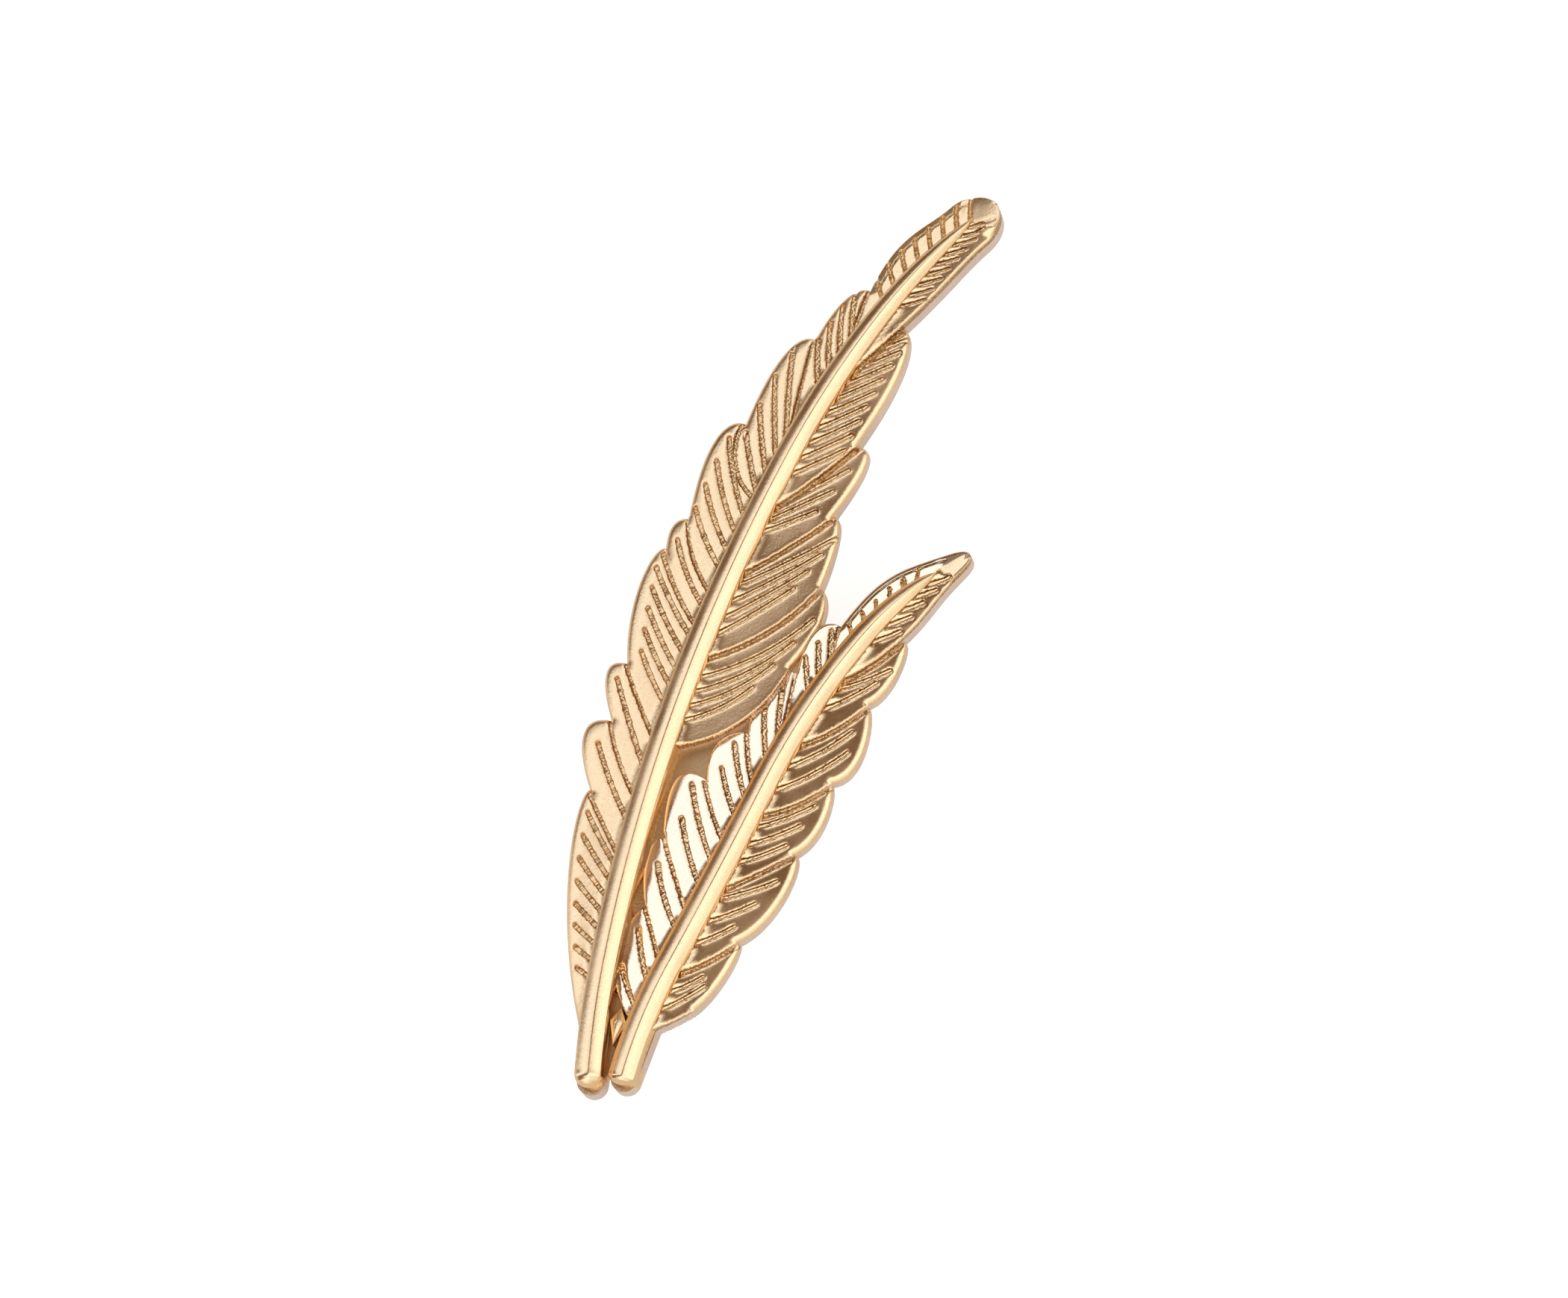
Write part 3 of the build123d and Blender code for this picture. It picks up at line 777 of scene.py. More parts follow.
def engraving_tree():
    """Cuts strokes into a leaf's roof, rounds its rim and breaks the edge of its step."""
    tree, given = shape_tree("engrave_leaf", [
        ("Lines", "Object", None),
        ("Stroke Width", "Float", GROOVE_WIDTH),
        ("Stroke Depth", "Float", GROOVE_DEPTH),
        ("Bowl", "Float", STROKE_BOWL),
        ("Border Width", "Float", BORDER_WIDTH),
        ("Border Blend", "Float", BORDER_BLEND),
        ("Deepest", "Float", BACK + DEEPEST),
        ("Wall Run", "Float", GROOVE_WALL),
        ("Pillow Run", "Float", PILLOW_RUN),
        ("Pillow Drop", "Float", PILLOW_DROP),
        ("Edge Run", "Float", EDGE_RUN),
        ("Edge Fall", "Float", 0.0),
        ("Root Run", "Float", ROOT_RUN),
        ("Root Rise", "Float", ROOT_RISE),
        ("Rim Radius", "Float", BORDER_RIM),
        ("Step Radius", "Float", STEP_RADIUS),
        ("Bevel Run", "Float", LONG.border),
        ("Bevel Fall", "Float", 0.0),
        ("Tip Place", "Vector", None),
        ("Tip Reach", "Float", TIP_REACH),
        ("Tip Lean", "Float", 0.0),
        ("Tip Clear", "Float", TIP_CLEAR),
        ("Scallop Length", "Float", SCALLOP_LENGTH),
        ("Scallop Size", "Float", SCALLOP_SIZE),
        ("Seed", "Float", 0.0),
        ("Finish", "Material", None),
    ])
    guide = wire(tree, "GeometryNodeObjectInfo", {"Object": given["Lines"]})["Geometry"]
    place = wire(tree, "GeometryNodeInputPosition")[0]

    def nearest(kind):
        chosen = wire(tree, "FunctionNodeCompare", {"A": named(tree, "kind", "INT"), "B": kind},
                      data_type="INT", operation="EQUAL")[0]
        part = wire(tree, "GeometryNodeSeparateGeometry", {0: guide, 1: chosen}, domain="EDGE")[0]
        return wire(tree, "GeometryNodeProximity", {0: part}, target_element="EDGES")

    stroke = nearest(STROKE_LINE)
    teeth = wire(tree, "ShaderNodeTexNoise", {
        "Vector": stroke["Position"], "W": given["Seed"],
        "Scale": 1.0 / given["Scallop Length"], "Detail": 1.0,
    }, noise_dimensions="4D")[0]
    swing = ramp(teeth, NOISE_LOW, NOISE_HIGH, -1.0, 1.0)
    half = given["Stroke Width"] / 2.0 + swing * given["Scallop Size"]
    border = nearest(BORDER_LINE)
    away = stroke["Distance"] - half
    aside = border["Distance"] - given["Border Width"] / 2.0
    joined = calc("SMOOTH_MIN", away, aside, given["Border Blend"])
    away = away + (joined - away) * border["Is Valid"]
    tip = vector(tree, "DISTANCE", place, given["Tip Place"])["Value"]
    clear = ramp(tip, given["Tip Clear"] - CLEAR_BLEND, given["Tip Clear"], 0.0, 1.0)
    cut = ramp(away, given["Wall Run"] * -1.0, 0.0, 1.0, 0.0) * clear
    share = calc("MINIMUM", stroke["Distance"] / half, 1.0)
    bowl = 1.0 - share * share * given["Bowl"]
    ripple = calc("MULTIPLY_ADD", swing, DEPTH_RIPPLE, 1.0)
    deep = given["Stroke Depth"] * ripple * (cut * bowl)

    rim = nearest(RIM_LINE)["Distance"]
    step = nearest(STEP_LINE)["Distance"]
    beside = stroke["Distance"] - given["Stroke Width"] / 2.0
    pillow = easing(beside, given["Pillow Run"], given["Pillow Drop"])
    fall = easing(rim, given["Edge Run"], given["Edge Fall"])
    rise = easing(nearest(ROOT_LINE)["Distance"], given["Root Run"], given["Root Rise"])
    bevel = ramp(rim, 0.0, given["Bevel Run"], given["Bevel Fall"], 0.0, False)
    near = ramp(tip, given["Tip Reach"] - TIP_BLEND, given["Tip Reach"], 1.0, 0.0)
    middle = nearest(MIDDLE_LINE)["Distance"] + SEAM_LAP
    lean = middle * given["Tip Lean"] * near
    rise = rise * (1.0 - near)
    bevel = bevel * (1.0 - near)
    edge = calc("MAXIMUM", rounding(rim, given["Rim Radius"]), rounding(step, given["Step Radius"]))
    soft = pillow + fall - rise + (bevel + lean)
    height = wire(tree, "ShaderNodeSeparateXYZ", {0: place})[2]
    room = height - soft - given["Deepest"]
    room = room * ramp(teeth, FLOOR_NOISE_LOW, FLOOR_NOISE_HIGH, FLOOR_LEAST, 1.0)
    deep = calc("MINIMUM", deep, calc("MAXIMUM", room, 0.0))
    drop = edge + (deep + soft)
    down = wire(tree, "ShaderNodeCombineXYZ", {2: drop * -1.0})[0]
    top = wire(tree, "FunctionNodeCompare", {"A": named(tree, "top"), "B": 0.5}, operation="GREATER_THAN")[0]
    # The engraved mark also tells the plating where to paint shade into the cuts
    marked = wire(tree, "GeometryNodeStoreNamedAttribute", {
        "Geometry": given["Geometry"], "Name": "engraved", "Value": cut * named(tree, "top"),
    })[0]
    moved = wire(tree, "GeometryNodeSetPosition", {"Geometry": marked, "Selection": top, "Offset": down})[0]
    end_tree(tree, moved, given["Finish"])
    return tree


def grow(piece, tree, **values):
    """Runs a Geometry Nodes tree on a piece with its named inputs set, and makes the result its mesh."""
    modifier = piece.modifiers.new(tree.name, "NODES")
    modifier.node_group = tree
    for item in tree.interface.items_tree:
        key = item.name.lower().replace(" ", "_")
        if item.in_out == "INPUT" and key in values:
            modifier[item.identifier] = values[key]
    settle(piece)


def settle(piece):
    """Makes what a piece's modifiers give its plain mesh."""
    depsgraph = bpy.context.evaluated_depsgraph_get()
    shaped = piece.evaluated_get(depsgraph)
    data = bpy.data.meshes.new_from_object(shaped, preserve_all_data_layers=True, depsgraph=depsgraph)
    old = piece.data
    piece.modifiers.clear()
    piece.data = data
    bpy.data.meshes.remove(old)


def fuse(first, others):
    """Fuses closed pieces into the first one."""
    for other in others:
        union = first.modifiers.new("fuse", "BOOLEAN")
        union.operation = "UNION"
        union.solver = "MANIFOLD"
        union.object = other
    settle(first)
    for other in others:
        bpy.data.objects.remove(other)


def finish_piece(piece, name, finish, sharp=38):
    """Names a finished piece, scales it to metres, smooths it but for its sharp edges, and attaches it to
    the root body.
    """
    piece.name = name
    piece.data.name = name
    piece.data.materials.clear()
    piece.data.materials.append(finish)
    piece.data.transform(Matrix.Scale(MM, 4))
    piece.data.shade_smooth()
    piece.data.set_sharp_from_angle(angle=radians(sharp))
    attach(piece, "root")
    return piece


# The quills

def float_curve(value, points):
    """Output of a Float Curve node through a few points."""
    node = add_node(value.tree, "ShaderNodeFloatCurve", {1: value})
    curve = node.mapping.curves[0]
    while len(curve.points) < len(points):
        curve.points.new(0.5, 0.5)
    for knot, (x, y) in zip(curve.points, points):
        knot.location = (x, y)
        knot.handle_type = "AUTO_CLAMPED"
    node.mapping.update()
    return Reading(node.outputs[0])


def crest_outline():
    """A quill's crest from its right edge over its crease to its left: across and up, each at most 1."""
    half = QUILL_WIDTH / 2
    crease = CREASE_RADIUS * (sin(CREASE_TILT) + sin(TOP_TILT))
    right = (2 * half - LEFT_FLANK - RIGHT_FLANK - crease) / (sin(RIGHT_TILT) - sin(TOP_TILT))
    left = LEFT_FLANK / (sin(LEFT_TILT) - sin(CREASE_TILT))
    arcs = [
        (RIGHT_TILT, TOP_TILT, right),
        (TOP_TILT, -CREASE_TILT, CREASE_RADIUS),
        (-CREASE_TILT, -LEFT_TILT, left),
    ]
    across = [half, half - RIGHT_FLANK]
    high = [0, RIGHT_FLANK * tan(RIGHT_TILT)]
    for first, last, radius in arcs:
        tilts = np.linspace(first, last, ARC_POINTS)[1:]
        across += list(across[-1] - radius * (sin(first) - np.sin(tilts)))
        high += list(high[-1] + radius * (np.cos(tilts) - cos(first)))
    return np.stack([np.array(across) / half, np.array(high) / max(high)], 1)


def quill_tree():
    """Draws a quill along its middle line: upright sides, a creased crest, a domed foot and a thin tip."""
    tree, given = shape_tree("draw_quill", [
        ("Width", "Float", QUILL_WIDTH),
        ("Height", "Float", QUILL_HEIGHT),
        ("Crest Rise", "Float", CREST_RISE),
        ("Root Height", "Float", QUILL_ROOT),
        ("Root Flare", "Float", ROOT_FLARE),
        ("Section", "Object", None),
        ("Round Foot", "Float", ROUND_FOOT),
        ("Rings", "Int", QUILL_RINGS),
        ("Sides", "Int", QUILL_SIDES),
        ("Waver", "Float", QUILL_WAVER),
        ("Seed", "Float", 0.0),
        ("Finish", "Material", None),
    ])
    line = wire(tree, "GeometryNodeMeshToCurve", {0: given["Geometry"]})[0]
    sheet = wire(tree, "GeometryNodeMeshGrid", {
        "Size X": 1.0, "Size Y": 1.0, "Vertices X": given["Rings"], "Vertices Y": given["Sides"],
    })[0]
    spot = wire(tree, "ShaderNodeSeparateXYZ", {0: wire(tree, "GeometryNodeInputPosition")[0]})
    along = spot[0] + 0.5
    around = spot[1] + 0.5
    share = along - calc("SINE", along * (2 * pi)) * (RING_CROWDING / (2 * pi))
    sample = wire(tree, "GeometryNodeSampleCurve", {"Curves": line, "Factor": share}, mode="FACTOR")
    across = vector(tree, "CROSS_PRODUCT", sample["Tangent"], (0, 0, 1))[0]
    across = wire(tree, "ShaderNodeVectorMath", {0: across}, operation="NORMALIZE")[0]

    eased = calc("SQRT", share)
    width = float_curve(eased, [(s.at ** 0.5, s.width) for s in QUILL_SECTIONS])
    height = float_curve(eased, [(s.at ** 0.5, s.height) for s in QUILL_SECTIONS])
    half = given["Width"] / 2.0 * width
    top = given["Height"] * height
    rise = given["Crest Rise"] * calc("POWER", width, 0.5)

    arch = ramp(around, WALL_SHARE, CREST_SHARE, 0.0, 1.0, False)
    right_wall = ramp(around, 0.0, WALL_SHARE, 1.0, 0.0, False)
    left_wall = ramp(around, CREST_SHARE, CREST_SHARE + WALL_SHARE, 0.0, 1.0, False)
    below = calc("MAXIMUM", right_wall, left_wall)
    under = ramp(around, CREST_SHARE + WALL_SHARE, 1.0, -1.0, 1.0, False)
    is_under = calc("GREATER_THAN", around, CREST_SHARE + WALL_SHARE)
    section = wire(tree, "GeometryNodeObjectInfo", {"Object": given["Section"]})["Geometry"]
    section = wire(tree, "GeometryNodeMeshToCurve", {0: section})[0]
    over = wire(tree, "GeometryNodeSampleCurve", {"Curves": section, "Factor": arch}, mode="FACTOR")
    over_x, over_z, _ = wire(tree, "ShaderNodeSeparateXYZ", {0: over["Position"]})
    turn = arch * pi
    domed = ramp(share, 0.0, given["Round Foot"], 1.0, 0.0)
    over_x = blend(domed, over_x, calc("COSINE", turn))
    over_z = blend(domed, over_z, calc("SINE", turn))
    out = over_x * (1.0 - is_under) + under * is_under
    hidden = calc("MAXIMUM", below, is_under)
    spring = top - rise
    high = spring + over_z * rise * (1.0 - hidden) - below * (spring - given["Root Height"])

    drift = wire(tree, "ShaderNodeTexNoise", {
        "Vector": sample["Position"], "W": given["Seed"], "Scale": WAVER_SCALE,
    }, noise_dimensions="4D")[0]
    waver = (drift - 0.5) * given["Waver"]
    flared = calc("MULTIPLY_ADD", hidden, given["Root Flare"], 1.0)
    reach = half * out * ((1.0 + waver) * flared)
    sideways = vector(tree, "SCALE", across, reach, "Scale")[0]
    lift = wire(tree, "ShaderNodeCombineXYZ", {2: high})[0]
    flat = vector(tree, "ADD", sample["Position"], sideways)[0]
    place = vector(tree, "ADD", flat, lift)[0]
    shaped = wire(tree, "GeometryNodeSetPosition", {"Geometry": sheet, "Position": place})[0]
    closed = wire(tree, "GeometryNodeMergeByDistance", {"Geometry": shaped, "Distance": MERGE_GAP})[0]
    end_tree(tree, closed, given["Finish"])
    return tree


def line_piece(name, points, height):
    """A mesh line through points of the plan at one height."""
    mesh = bmesh.new()
    knots = [mesh.verts.new((x, y, height)) for x, y in points]
    for first, second in zip(knots, knots[1:]):
        mesh.edges.new((first, second))
    return new_piece(name, mesh)


def face_outwards(piece):
    """Takes off faces that hang by one edge, and turns the rest of a closed piece's faces outwards."""
    mesh = bmesh.new()
    mesh.from_mesh(piece.data)
    flaps = [face for face in mesh.faces if any(len(edge.link_faces) == 1 for edge in face.edges)]
    bmesh.ops.delete(mesh, geom=flaps, context="FACES")
    bmesh.ops.recalc_face_normals(mesh, faces=mesh.faces)
    mesh.to_mesh(piece.data)
    mesh.free()


def make_quill(name, feather, tree, finish, seed):
    """One quill, with its foot at the start of its middle line."""
    points = quill_line(feather, 0, feather.end * feather.quill)
    piece = line_piece(name, points, BACK - feather.drop)
    section = line_piece("section", crest_outline(), 0)
    grow(piece, tree, section=section, seed=float(seed), root_height=QUILL_ROOT + feather.drop)
    bpy.data.objects.remove(section)
    face_outwards(piece)
    return finish_piece(piece, name, finish, sharp=50)


# The web, the feet and the post

def stacked(name, rings):
    """A closed piece from rings of equal count, each with its height, from the bottom to the top."""
    mesh = bmesh.new()
    loops = [[mesh.verts.new((x, y, height)) for x, y in ring] for ring, height in rings]
    for lower, upper in zip(loops, loops[1:]):
        for i in range(len(lower)):
            j = (i + 1) % len(lower)
            mesh.faces.new((lower[i], lower[j], upper[j], upper[i]))
    mesh.faces.new(loops[0][::-1])
    mesh.faces.new(loops[-1])
    bmesh.ops.recalc_face_normals(mesh, faces=mesh.faces)
    return new_piece(name, mesh)


def capsule(start, end, radius, count=24):
    """Outline round two points: half a circle at each, joined by straight sides."""
    heading = np.arctan2(end[1] - start[1], end[0] - start[0])
    turns = np.linspace(-pi / 2, pi / 2, count)
    far = circle_points(end, radius, heading + turns)
    near = circle_points(start, radius, heading + pi + turns)
    return np.vstack([far, near])


def foot_base(feather):
    """The wider base round a quill's foot, whose sides lean in to the quill."""
    ends = [quill_at(feather, s)[0] for s in (FOOT_BASE_START, FOOT_BASE_LENGTH)]
    top = BACK + FOOT_BASE_HEIGHT - feather.drop
    return stacked("foot_base", [
        (capsule(*ends, QUILL_WIDTH / 2 + FOOT_MARGIN), BACK),
        (capsule(*ends, QUILL_WIDTH / 2 + FOOT_LEDGE), top),
    ])


def web_plate():
    """The low plate between the feathers."""
    long_side = quill_line(LONG, WEB_LONG[0] * LONG_QUILL, WEB_LONG[1] * LONG_QUILL, WEB_SPACING)
    short_side = quill_line(SHORT, WEB_SHORT[0] * SHORT_QUILL, WEB_SHORT[1] * SHORT_QUILL, WEB_SPACING)
    point, heading = quill_at(SHORT, WEB_CORNER_AT * SHORT_QUILL)
    corner = towards(point, heading + LEFT * 90, WEB_CORNER_OUT * SHORT_BARB)
    outline = np.vstack([long_side, [corner], short_side])
    return stacked("web", [(outline, BACK), (outline, BACK + WEB_HEIGHT)])


def mark_sides(piece):
    """Marks a piece's upright faces as sides, which keep a rougher cast skin low down, where the plating
    also paints them paler and pinker as a reflection of the floor; higher up it darkens them in ticks as
    painted shade.
    """
    marks = piece.data.attributes.get("side") or piece.data.attributes.new("side", "FLOAT", "FACE")
    for face, mark in zip(piece.data.polygons, marks.data):
        mark.value = float(abs(face.normal.z) < SIDE_TILT)


def foot_ridge():
    """The small faceted ridge in the hollow between the two feet."""
    start = np.array(quill_at(LONG, RIDGE_START)[0]) + np.array(quill_at(SHORT, RIDGE_START)[0])
    end = np.array(quill_at(LONG, RIDGE_END)[0]) + np.array(quill_at(SHORT, RIDGE_END - SHORT_FOOT_ALONG)[0])
    start, end = start / 2, end / 2
    along = (end - start) / np.hypot(*(end - start))
    across = np.array([along[1], -along[0]])
    waist = start + (end - start) * RIDGE_WAIST_AT
    base = [start, waist + across * RIDGE_HALF, end, waist - across * RIDGE_HALF]
    crown = [p + (waist - p) * RIDGE_CROWN_IN for p in base]
    low = BACK + WEB_HEIGHT / 2
    return stacked("foot_ridge", [(base, low), (base, BACK + RIDGE_SHOULDER), (crown, BACK + RIDGE_TOP)])


def make_post(finish):
    """The tack post with its solder collar, turned round the Z axis."""
    radius = POST_DIAMETER / 2
    tip = CLUTCH_FLOOR + POST_TIP_CLEARANCE
    collar = COLLAR_DIAMETER / 2
    under = BACK - COLLAR_THICKNESS
    turns = np.linspace(0, pi / 2, 6)
    fillet = [(radius + SOLDER * (1 - cos(t)), under - SOLDER * (1 - sin(t))) for t in turns]
    profile = [
        (POINT_BLUNT / 2, tip),
        (POINT_BLUNT, tip + POINT_BLUNT / 2),
        (radius * POINT_SHOULDER, tip + POST_POINT * POINT_SHOULDER_AT),
        (radius, tip + POST_POINT),
        *fillet,
        (collar - COLLAR_CHAMFER, under),
        (collar, under + COLLAR_CHAMFER),
        (collar, BACK + WEB_HEIGHT / 2),
    ]
    around = np.linspace(0, 2 * pi, POST_SIDES, endpoint=False)
    ring = circle_points((0, 0), 1, around)
    piece = stacked("tack_post", [(ring * size, height) for size, height in profile])
    return finish_piece(piece, "tack_post", finish, sharp=35)


# Finishes

GOLD = (0.93, 0.62, 0.325, 1)
# Darker, browner gold of the web: painted shade in the hollow between the feathers
SHADED_GROUND_GOLD = (0.60, 0.37, 0.17, 1)
# Deeper gold on the floors of the cuts: painted shade and inter-reflection in the recesses
CUT_SHADE_GOLD = (0.82, 0.53, 0.25, 1)
# Paler gold of the short feather's left vane: a painted highlight
PAINTED_HIGHLIGHT_GOLD = (0.95, 0.70, 0.45, 1)
# Paler, pinker gold low on the upright sides: a painted reflection of the pale floor
SIDE_GOLD_FLOOR_REFLECTION = (0.84, 0.66, 0.53, 1)
# Colours of the walls of the cuts and of the steps, laid on in ticks: painted shade, the second a darker one
CUT_WALL_SHADE = (0.56, 0.34, 0.15, 1)
DARK_CUT_WALL_SHADE = (0.28, 0.15, 0.06, 1)
BRASS = (0.89, 0.66, 0.32, 1)
# Height under which the sides take the rougher finish and the paler, pinker painted floor reflection, and
# its blend
SIDE_TOP = BACK + 1.2
SIDE_BLEND = 0.15

# Sizes of the noises that vary the plating, as scales per metre
CLOUD_SCALE = 320.0
WEAVE_SCALE = 4200.0
GRAIN_SCALE = 9000.0
TICK_SCALE = 11000.0

# How noises tone the plate, roughen it, and break up the painted shade on the walls: low, high, at low, at
# high
CLOUD_TONE = (0.35, 0.65, 0.94, 1.03)
GRAIN_TONE = (0.3, 0.7, 0.93, 1.05)
CLOUD_ROUGHNESS = (0.3, 0.7, -0.03, 0.05)
CUT_TICKS = (0.38, 0.52, 0.25, 1.0)
SIDE_TICKS = (0.42, 0.56, 0.3, 1.0)


def mix_colour(factor, first, second, mode="MIX"):
    """Output of a colour Mix node."""
    return wire(tree_of(factor, first, second), "ShaderNodeMix", {0: factor, 6: first, 7: second},
                data_type="RGBA", blend_type=mode)[2]


def satin_plate_group():
    """Satin plating with grain and fine ripple, painted shade in the cuts and on the steps, and a painted
    floor reflection low on the sides.
    """
    tree, given = new_tree("satin_plate", "ShaderNodeTree", [
        ("Plate", "Color", GOLD),
        ("Cut Plate", "Color", CUT_SHADE_GOLD),
        ("Side Plate", "Color", SIDE_GOLD_FLOOR_REFLECTION),
        ("Cut Wall", "Color", CUT_WALL_SHADE),
        ("Engraved", "Float", 0.0),
        ("Side", "Float", 0.0),
        ("Side Top", "Float", SIDE_TOP * MM),
        ("Plate Roughness", "Float", 0.26),
        ("Side Roughness", "Float", 0.5),
        ("Ripple", "Float", 0.25),
        ("Grain", "Float", 0.4),
    ], [("Color", "Color"), ("Roughness", "Float"), ("Height", "Float")])
    place = wire(tree, "ShaderNodeTexCoord")["Object"]
    clouds = noise(tree, place, CLOUD_SCALE, 3.0)
    grain = noise(tree, place, GRAIN_SCALE, 2.0)
    weave = noise(tree, place, WEAVE_SCALE, 1.0)
    ticks = noise(tree, place, TICK_SCALE, 1.0)
    high = wire(tree, "ShaderNodeSeparateXYZ", {0: place})[2]
    low = ramp(high, given["Side Top"] - SIDE_BLEND * MM, given["Side Top"], 1.0, 0.0)
    side = given["Side"] * low

    # A cut's wall is where the engraving is half way to its floor; it is darkened there in ticks as painted
    # shade
    wall = given["Engraved"] * (1.0 - given["Engraved"]) * 4.0 * ramp(ticks, *CUT_TICKS)
    # Upright faces above Side Top, such as the steps between leaves, take dark ticks too: painted shade
    upright = given["Side"] - side
    wall = calc("MAXIMUM", wall, upright * ramp(ticks, *SIDE_TICKS))
    # Painted shade: the floors of the cuts take the deeper cut gold
    plate = mix_colour(given["Engraved"], given["Plate"], given["Cut Plate"])
    plate = mix_colour(wall, plate, given["Cut Wall"])
    # Painted reflection: low on the sides the plate turns paler and pinker, as if showing the pale floor
    plate = mix_colour(side, plate, given["Side Plate"])
    tone = ramp(clouds, *CLOUD_TONE) * ramp(grain, *GRAIN_TONE)
    shade = wire(tree, "ShaderNodeCombineColor", {0: tone, 1: tone, 2: tone})[0]
    colour = mix_colour(1.0, plate, shade, "MULTIPLY")
    smooth = given["Plate Roughness"] + ramp(clouds, *CLOUD_ROUGHNESS)
    rough = wire(tree, "ShaderNodeMix", {0: side, 2: smooth, 3: given["Side Roughness"]},
                 data_type="FLOAT")[0]
    height = grain * given["Grain"] + weave * given["Ripple"]
    wire(tree, "NodeGroupOutput", {0: colour, 1: rough, 2: height})
    return tree


def clear_nodes(owner):
    """The empty node tree of a material or a world."""
    owner.use_nodes = True
    owner.node_tree.nodes.clear()
    return owner.node_tree


def plate_material(name, group, values, bump=0.00002):
    """A metal whose colour, roughness and grain come from the satin plating group."""
    material = bpy.data.materials.new(name)
    tree = clear_nodes(material)
    marks = {mark: wire(tree, "ShaderNodeAttribute", attribute_name=mark.lower())["Fac"]
             for mark in ("Engraved", "Side")}
    plate = wire(tree, "ShaderNodeGroup", {**values, **marks}, node_tree=group)
    relief = wire(tree, "ShaderNodeBump", {"Strength": 1.0, "Distance": bump, "Height": plate["Height"]})[0]
    metal = wire(tree, "ShaderNodeBsdfPrincipled", {
        "Base Color": plate["Color"],
        "Roughness": plate["Roughness"],
        "Metallic": 1.0,
        "Normal": relief,
    })[0]
    wire(tree, "ShaderNodeOutputMaterial", {0: metal})
    return material


# Making the pin

satin_plate = satin_plate_group()
satin_gold = plate_material("satin_gold", satin_plate, {})
# cut_gold and the short feather's finishes paint a darker shade on the walls of their cuts
cut_gold = plate_material("cut_gold", satin_plate, {"Cut Wall": DARK_CUT_WALL_SHADE})
quill_gold = plate_material("quill_gold", satin_plate, {"Plate Roughness": 0.25, "Grain": 0.2})
bright_gold = plate_material("bright_gold", satin_plate, {
    "Cut Wall": DARK_CUT_WALL_SHADE, "Plate Roughness": 0.22, "Grain": 0.2, "Ripple": 0.15})
# The short feather's left vane gets a paler plate: a painted highlight
pale_gold = plate_material("pale_gold", satin_plate, {
    "Plate": PAINTED_HIGHLIGHT_GOLD, "Cut Wall": DARK_CUT_WALL_SHADE, "Plate Roughness": 0.15, "Grain": 0.12, "Ripple": 0.12})
finishes = {"long_left_vane": satin_gold, "long_right_vane": cut_gold,
            "short_left_vane": pale_gold, "short_right_vane": bright_gold}
# The web's darker, browner plate is painted shade in the hollow between the feathers; its heavier grain and
# roughness are its cast texture
cast_ground = plate_material("cast_ground", satin_plate, {
    "Plate": SHADED_GROUND_GOLD, "Plate Roughness": 0.42, "Grain": 0.8, "Ripple": 0.8}, bump=0.00003)
clutch_brass = plate_material("clutch_brass", satin_plate, {"Plate": BRASS, "Plate Roughness": 0.2})

engrave = engraving_tree()
for vane in VANES:
    finish = finishes[vane.name]
    leaves = []
    for number in range(len(vane.leaves)):
        blank, lines = leaf_blank(vane, number)
        strokes = vane.leaves[number][1]
        last = number == len(vane.leaves) - 1
        soft = BORDER_SOFTNESS if strokes.border else 1.0
        tip = quill_at(vane.feather, vane.feather.quill)[0]
        grow(blank, engrave, lines=lines, seed=float(number), finish=finish,
             stroke_width=GROOVE_WIDTH * strokes.width,
             bowl=BORDER_BOWL if strokes.border else STROKE_BOWL,
             edge_fall=vane.fall * (BORDER_FALL if strokes.border else 1.0),
             pillow_drop=PILLOW_DROP * soft,
             root_rise=ROOT_RISE * soft,
             rim_radius=BORDER_RIM if last else vane.rim,
             bevel_run=vane.feather.border,
             bevel_fall=BEVEL_FALL if strokes.border else 0.0,
             tip_place=(*tip, leaf_roof(vane, number) @ (*tip, 1)),
             tip_lean=-vane.side * TIP_LEAN - ROOF_LEAN if last else 0.0)
        bpy.data.objects.remove(lines)
        leaves.append(blank)
    fuse(leaves[0], leaves[1:])
    finish_piece(leaves[0], vane.name, finish)
    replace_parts(leaves[0], "feather_casting")

draw_quill = quill_tree()
for seed, (name, feather) in enumerate((("long_quill", LONG), ("short_quill", SHORT))):
    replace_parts(make_quill(name, feather, draw_quill, quill_gold, seed), "feather_casting")

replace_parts(finish_piece(web_plate(), "web", cast_ground), "feather_casting")
feet = foot_base(LONG)
fuse(feet, [foot_base(SHORT), foot_ridge()])
mark_sides(feet)
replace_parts(finish_piece(feet, "feet", satin_gold), "feather_casting")
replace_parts(make_post(satin_gold), "feather_casting")

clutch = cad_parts["clutch"]
clutch.data.materials.clear()
clutch.data.materials.append(clutch_brass)

# Floor, camera and light

PAPER = (0.92, 0.84, 0.72, 1)

# Light that the paper gives off where the camera sees it, which keeps it an even white in the picture
PAPER_LIFT = 0.5
FLOOR_HALF = 600.0


def photo_direction(x, y, z):
    """A direction given across, up and out of the picture of the flat pin, turned into the pin's frame."""
    turn = radians(PIN_ROLL)
    return Vector((x * cos(turn) - y * sin(turn), x * sin(turn) + y * cos(turn), z)).normalized()


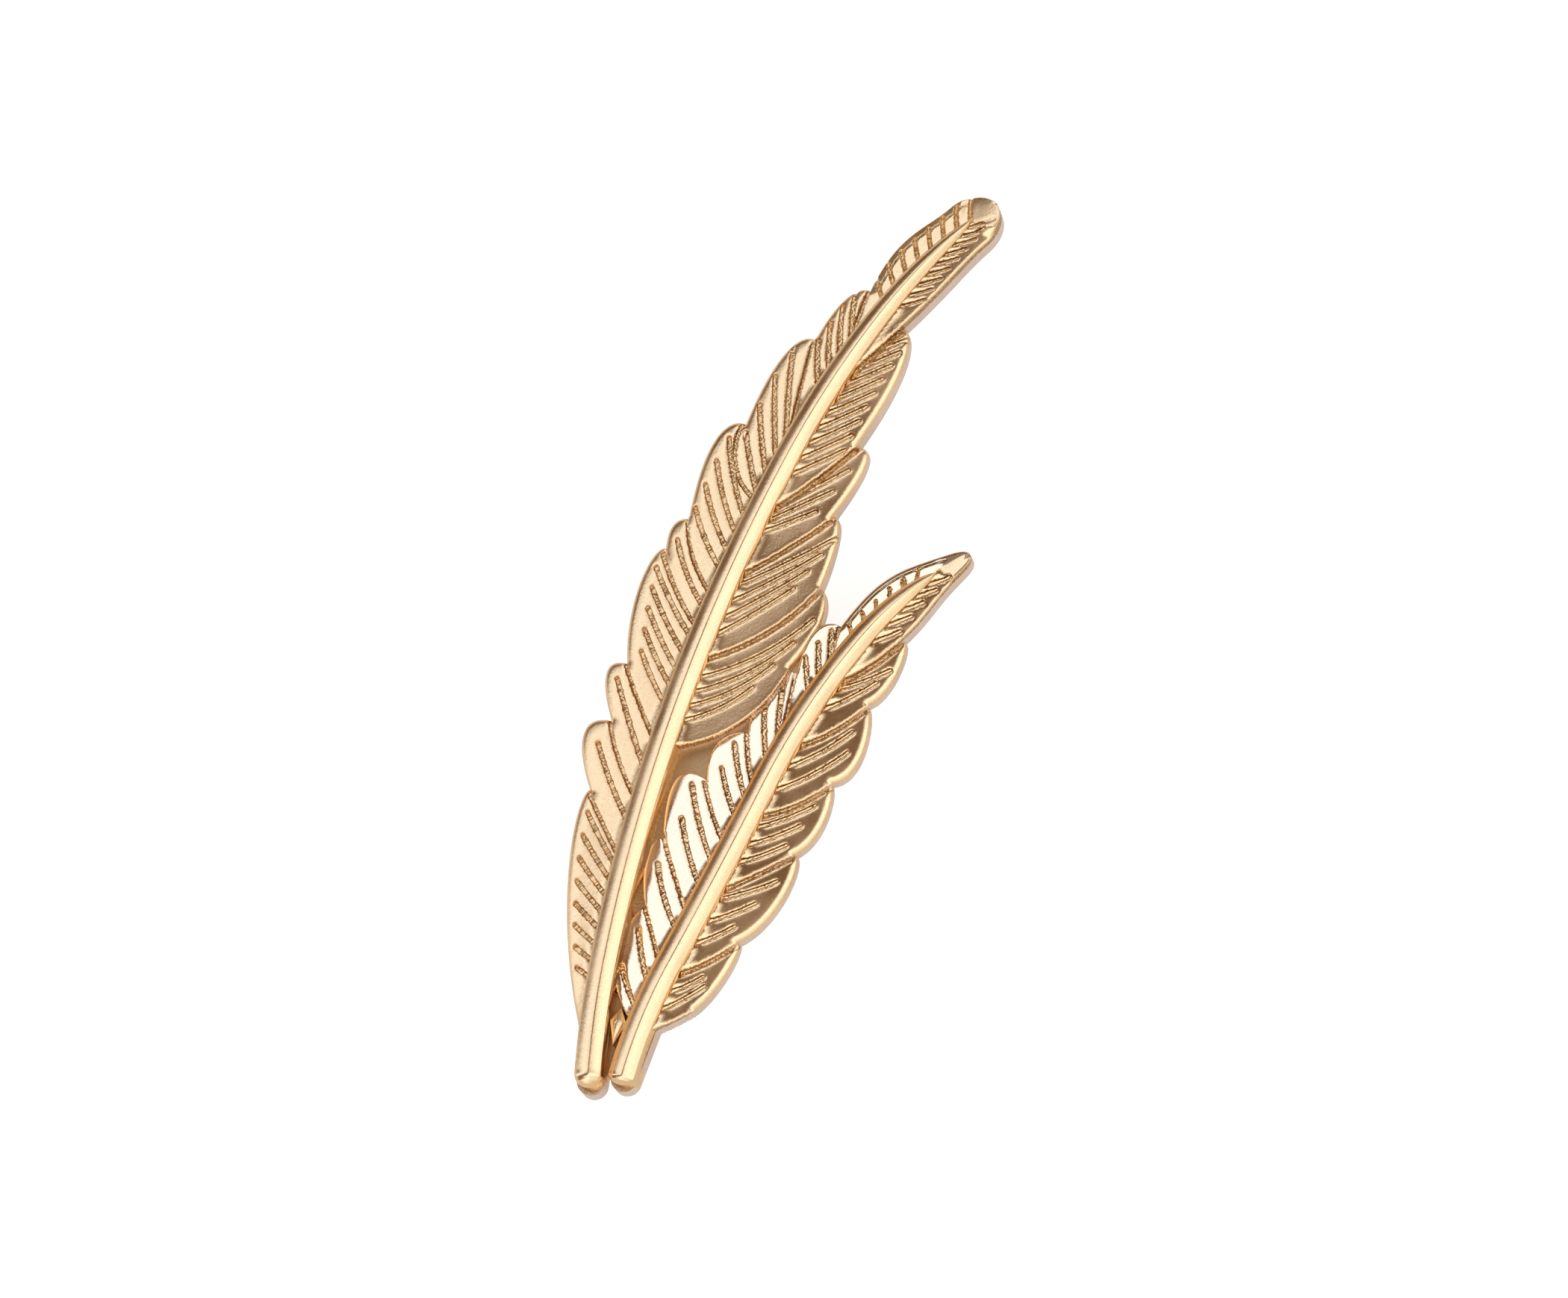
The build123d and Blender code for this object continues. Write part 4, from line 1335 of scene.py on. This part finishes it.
def make_floor():
    """A wide sheet of pale paper that the pin stands on."""
    mesh = bmesh.new()
    bmesh.ops.create_grid(mesh, x_segments=2, y_segments=2, size=FLOOR_HALF)
    floor = new_piece("floor", mesh)
    floor.data.transform(Matrix.Scale(MM, 4))
    material = bpy.data.materials.new("pale_paper")
    tree = clear_nodes(material)
    paper = wire(tree, "ShaderNodeBsdfDiffuse", {"Color": PAPER})[0]
    seen = wire(tree, "ShaderNodeLightPath")["Is Camera Ray"]
    white = wire(tree, "ShaderNodeEmission", {"Strength": seen * PAPER_LIFT})[0]
    lit = wire(tree, "ShaderNodeAddShader", {0: paper, 1: white})[0]
    wire(tree, "ShaderNodeOutputMaterial", {0: lit})
    floor.data.materials.append(material)


def make_camera():
    """The camera at the photograph's angle, with its lens."""
    data = bpy.data.cameras.new("camera")
    data.lens = LENS
    data.sensor_width = SENSOR
    data.clip_start = 0.01
    camera = bpy.data.objects.new("camera", data)
    bpy.context.scene.collection.objects.link(camera)
    lean = radians(CAMERA_LEAN)
    side = radians(CAMERA_LEAN_TOWARDS)
    back = Vector((sin(lean) * cos(side), sin(lean) * sin(side), cos(lean)))
    tip = Vector((0, 0, 1)).rotation_difference(back).to_matrix()
    turn = Matrix.Rotation(radians(PIN_ROLL), 3, "Z") @ tip
    away = PICTURE_WIDTH / PICTURE_PIXELS_PER_MM * LENS / SENSOR
    target = Vector((LONG_FOOT[0] + LOOK_ACROSS_FROM_FOOT, LONG_FOOT[1] + LOOK_ALONG_FROM_FOOT, BACK))
    camera.matrix_world = Matrix.Translation((target + turn.col[2] * away) * MM) @ turn.to_4x4()
    bpy.context.scene.camera = camera


# The studio is two long soft boxes across a dim warm ceiling. A band gives its colour at a share of the
# way from one wall, over the ceiling, to the other, and the colours blend from band to band.
Band = namedtuple("Band", "at colour")
ACROSS_STUDIO = (0.6, -0.8, 0.0)
DARK = (0.17, 0.11, 0.065, 1)
DIM = (0.165, 0.10, 0.05, 1)
LEFT_BOX = (1.30, 1.53, 1.98, 1)
LEFT_EDGE = (0.95, 1.02, 1.20, 1)
RIGHT_BOX = (1.55, 1.75, 2.10, 1)
RIGHT_EDGE = (1.05, 1.15, 1.25, 1)
BANDS = [
    Band(0.00, DARK), Band(0.10, DARK), Band(0.15, LEFT_BOX), Band(0.25, LEFT_BOX), Band(0.31, LEFT_EDGE),
    Band(0.37, DIM), Band(0.54, DIM), Band(0.67, RIGHT_BOX), Band(0.80, RIGHT_BOX), Band(0.92, RIGHT_EDGE),
    Band(1.00, RIGHT_EDGE),
]


def light_studio():
    """Two long soft boxes and a dim ceiling, as a sky over the floor."""
    world = bpy.data.worlds.new("studio")
    bpy.context.scene.world = world
    tree = clear_nodes(world)
    look = wire(tree, "ShaderNodeTexCoord")["Generated"]
    across = vector(tree, "DOT_PRODUCT", look, photo_direction(*ACROSS_STUDIO))["Value"]
    bands = add_node(tree, "ShaderNodeValToRGB", {0: ramp(across, -1.0, 1.0, 0.0, 1.0, False)})
    stops = bands.color_ramp.elements
    while len(stops) < len(BANDS):
        stops.new(0.5)
    for stop, band in zip(stops, BANDS):
        stop.position = band.at
        stop.color = band.colour
    sky = wire(tree, "ShaderNodeBackground", {"Color": Reading(bands.outputs[0]), "Strength": 1.0})[0]
    wire(tree, "ShaderNodeOutputWorld", {0: sky})


make_floor()
make_camera()
light_studio()
bpy.context.scene.view_settings.view_transform = "Standard"
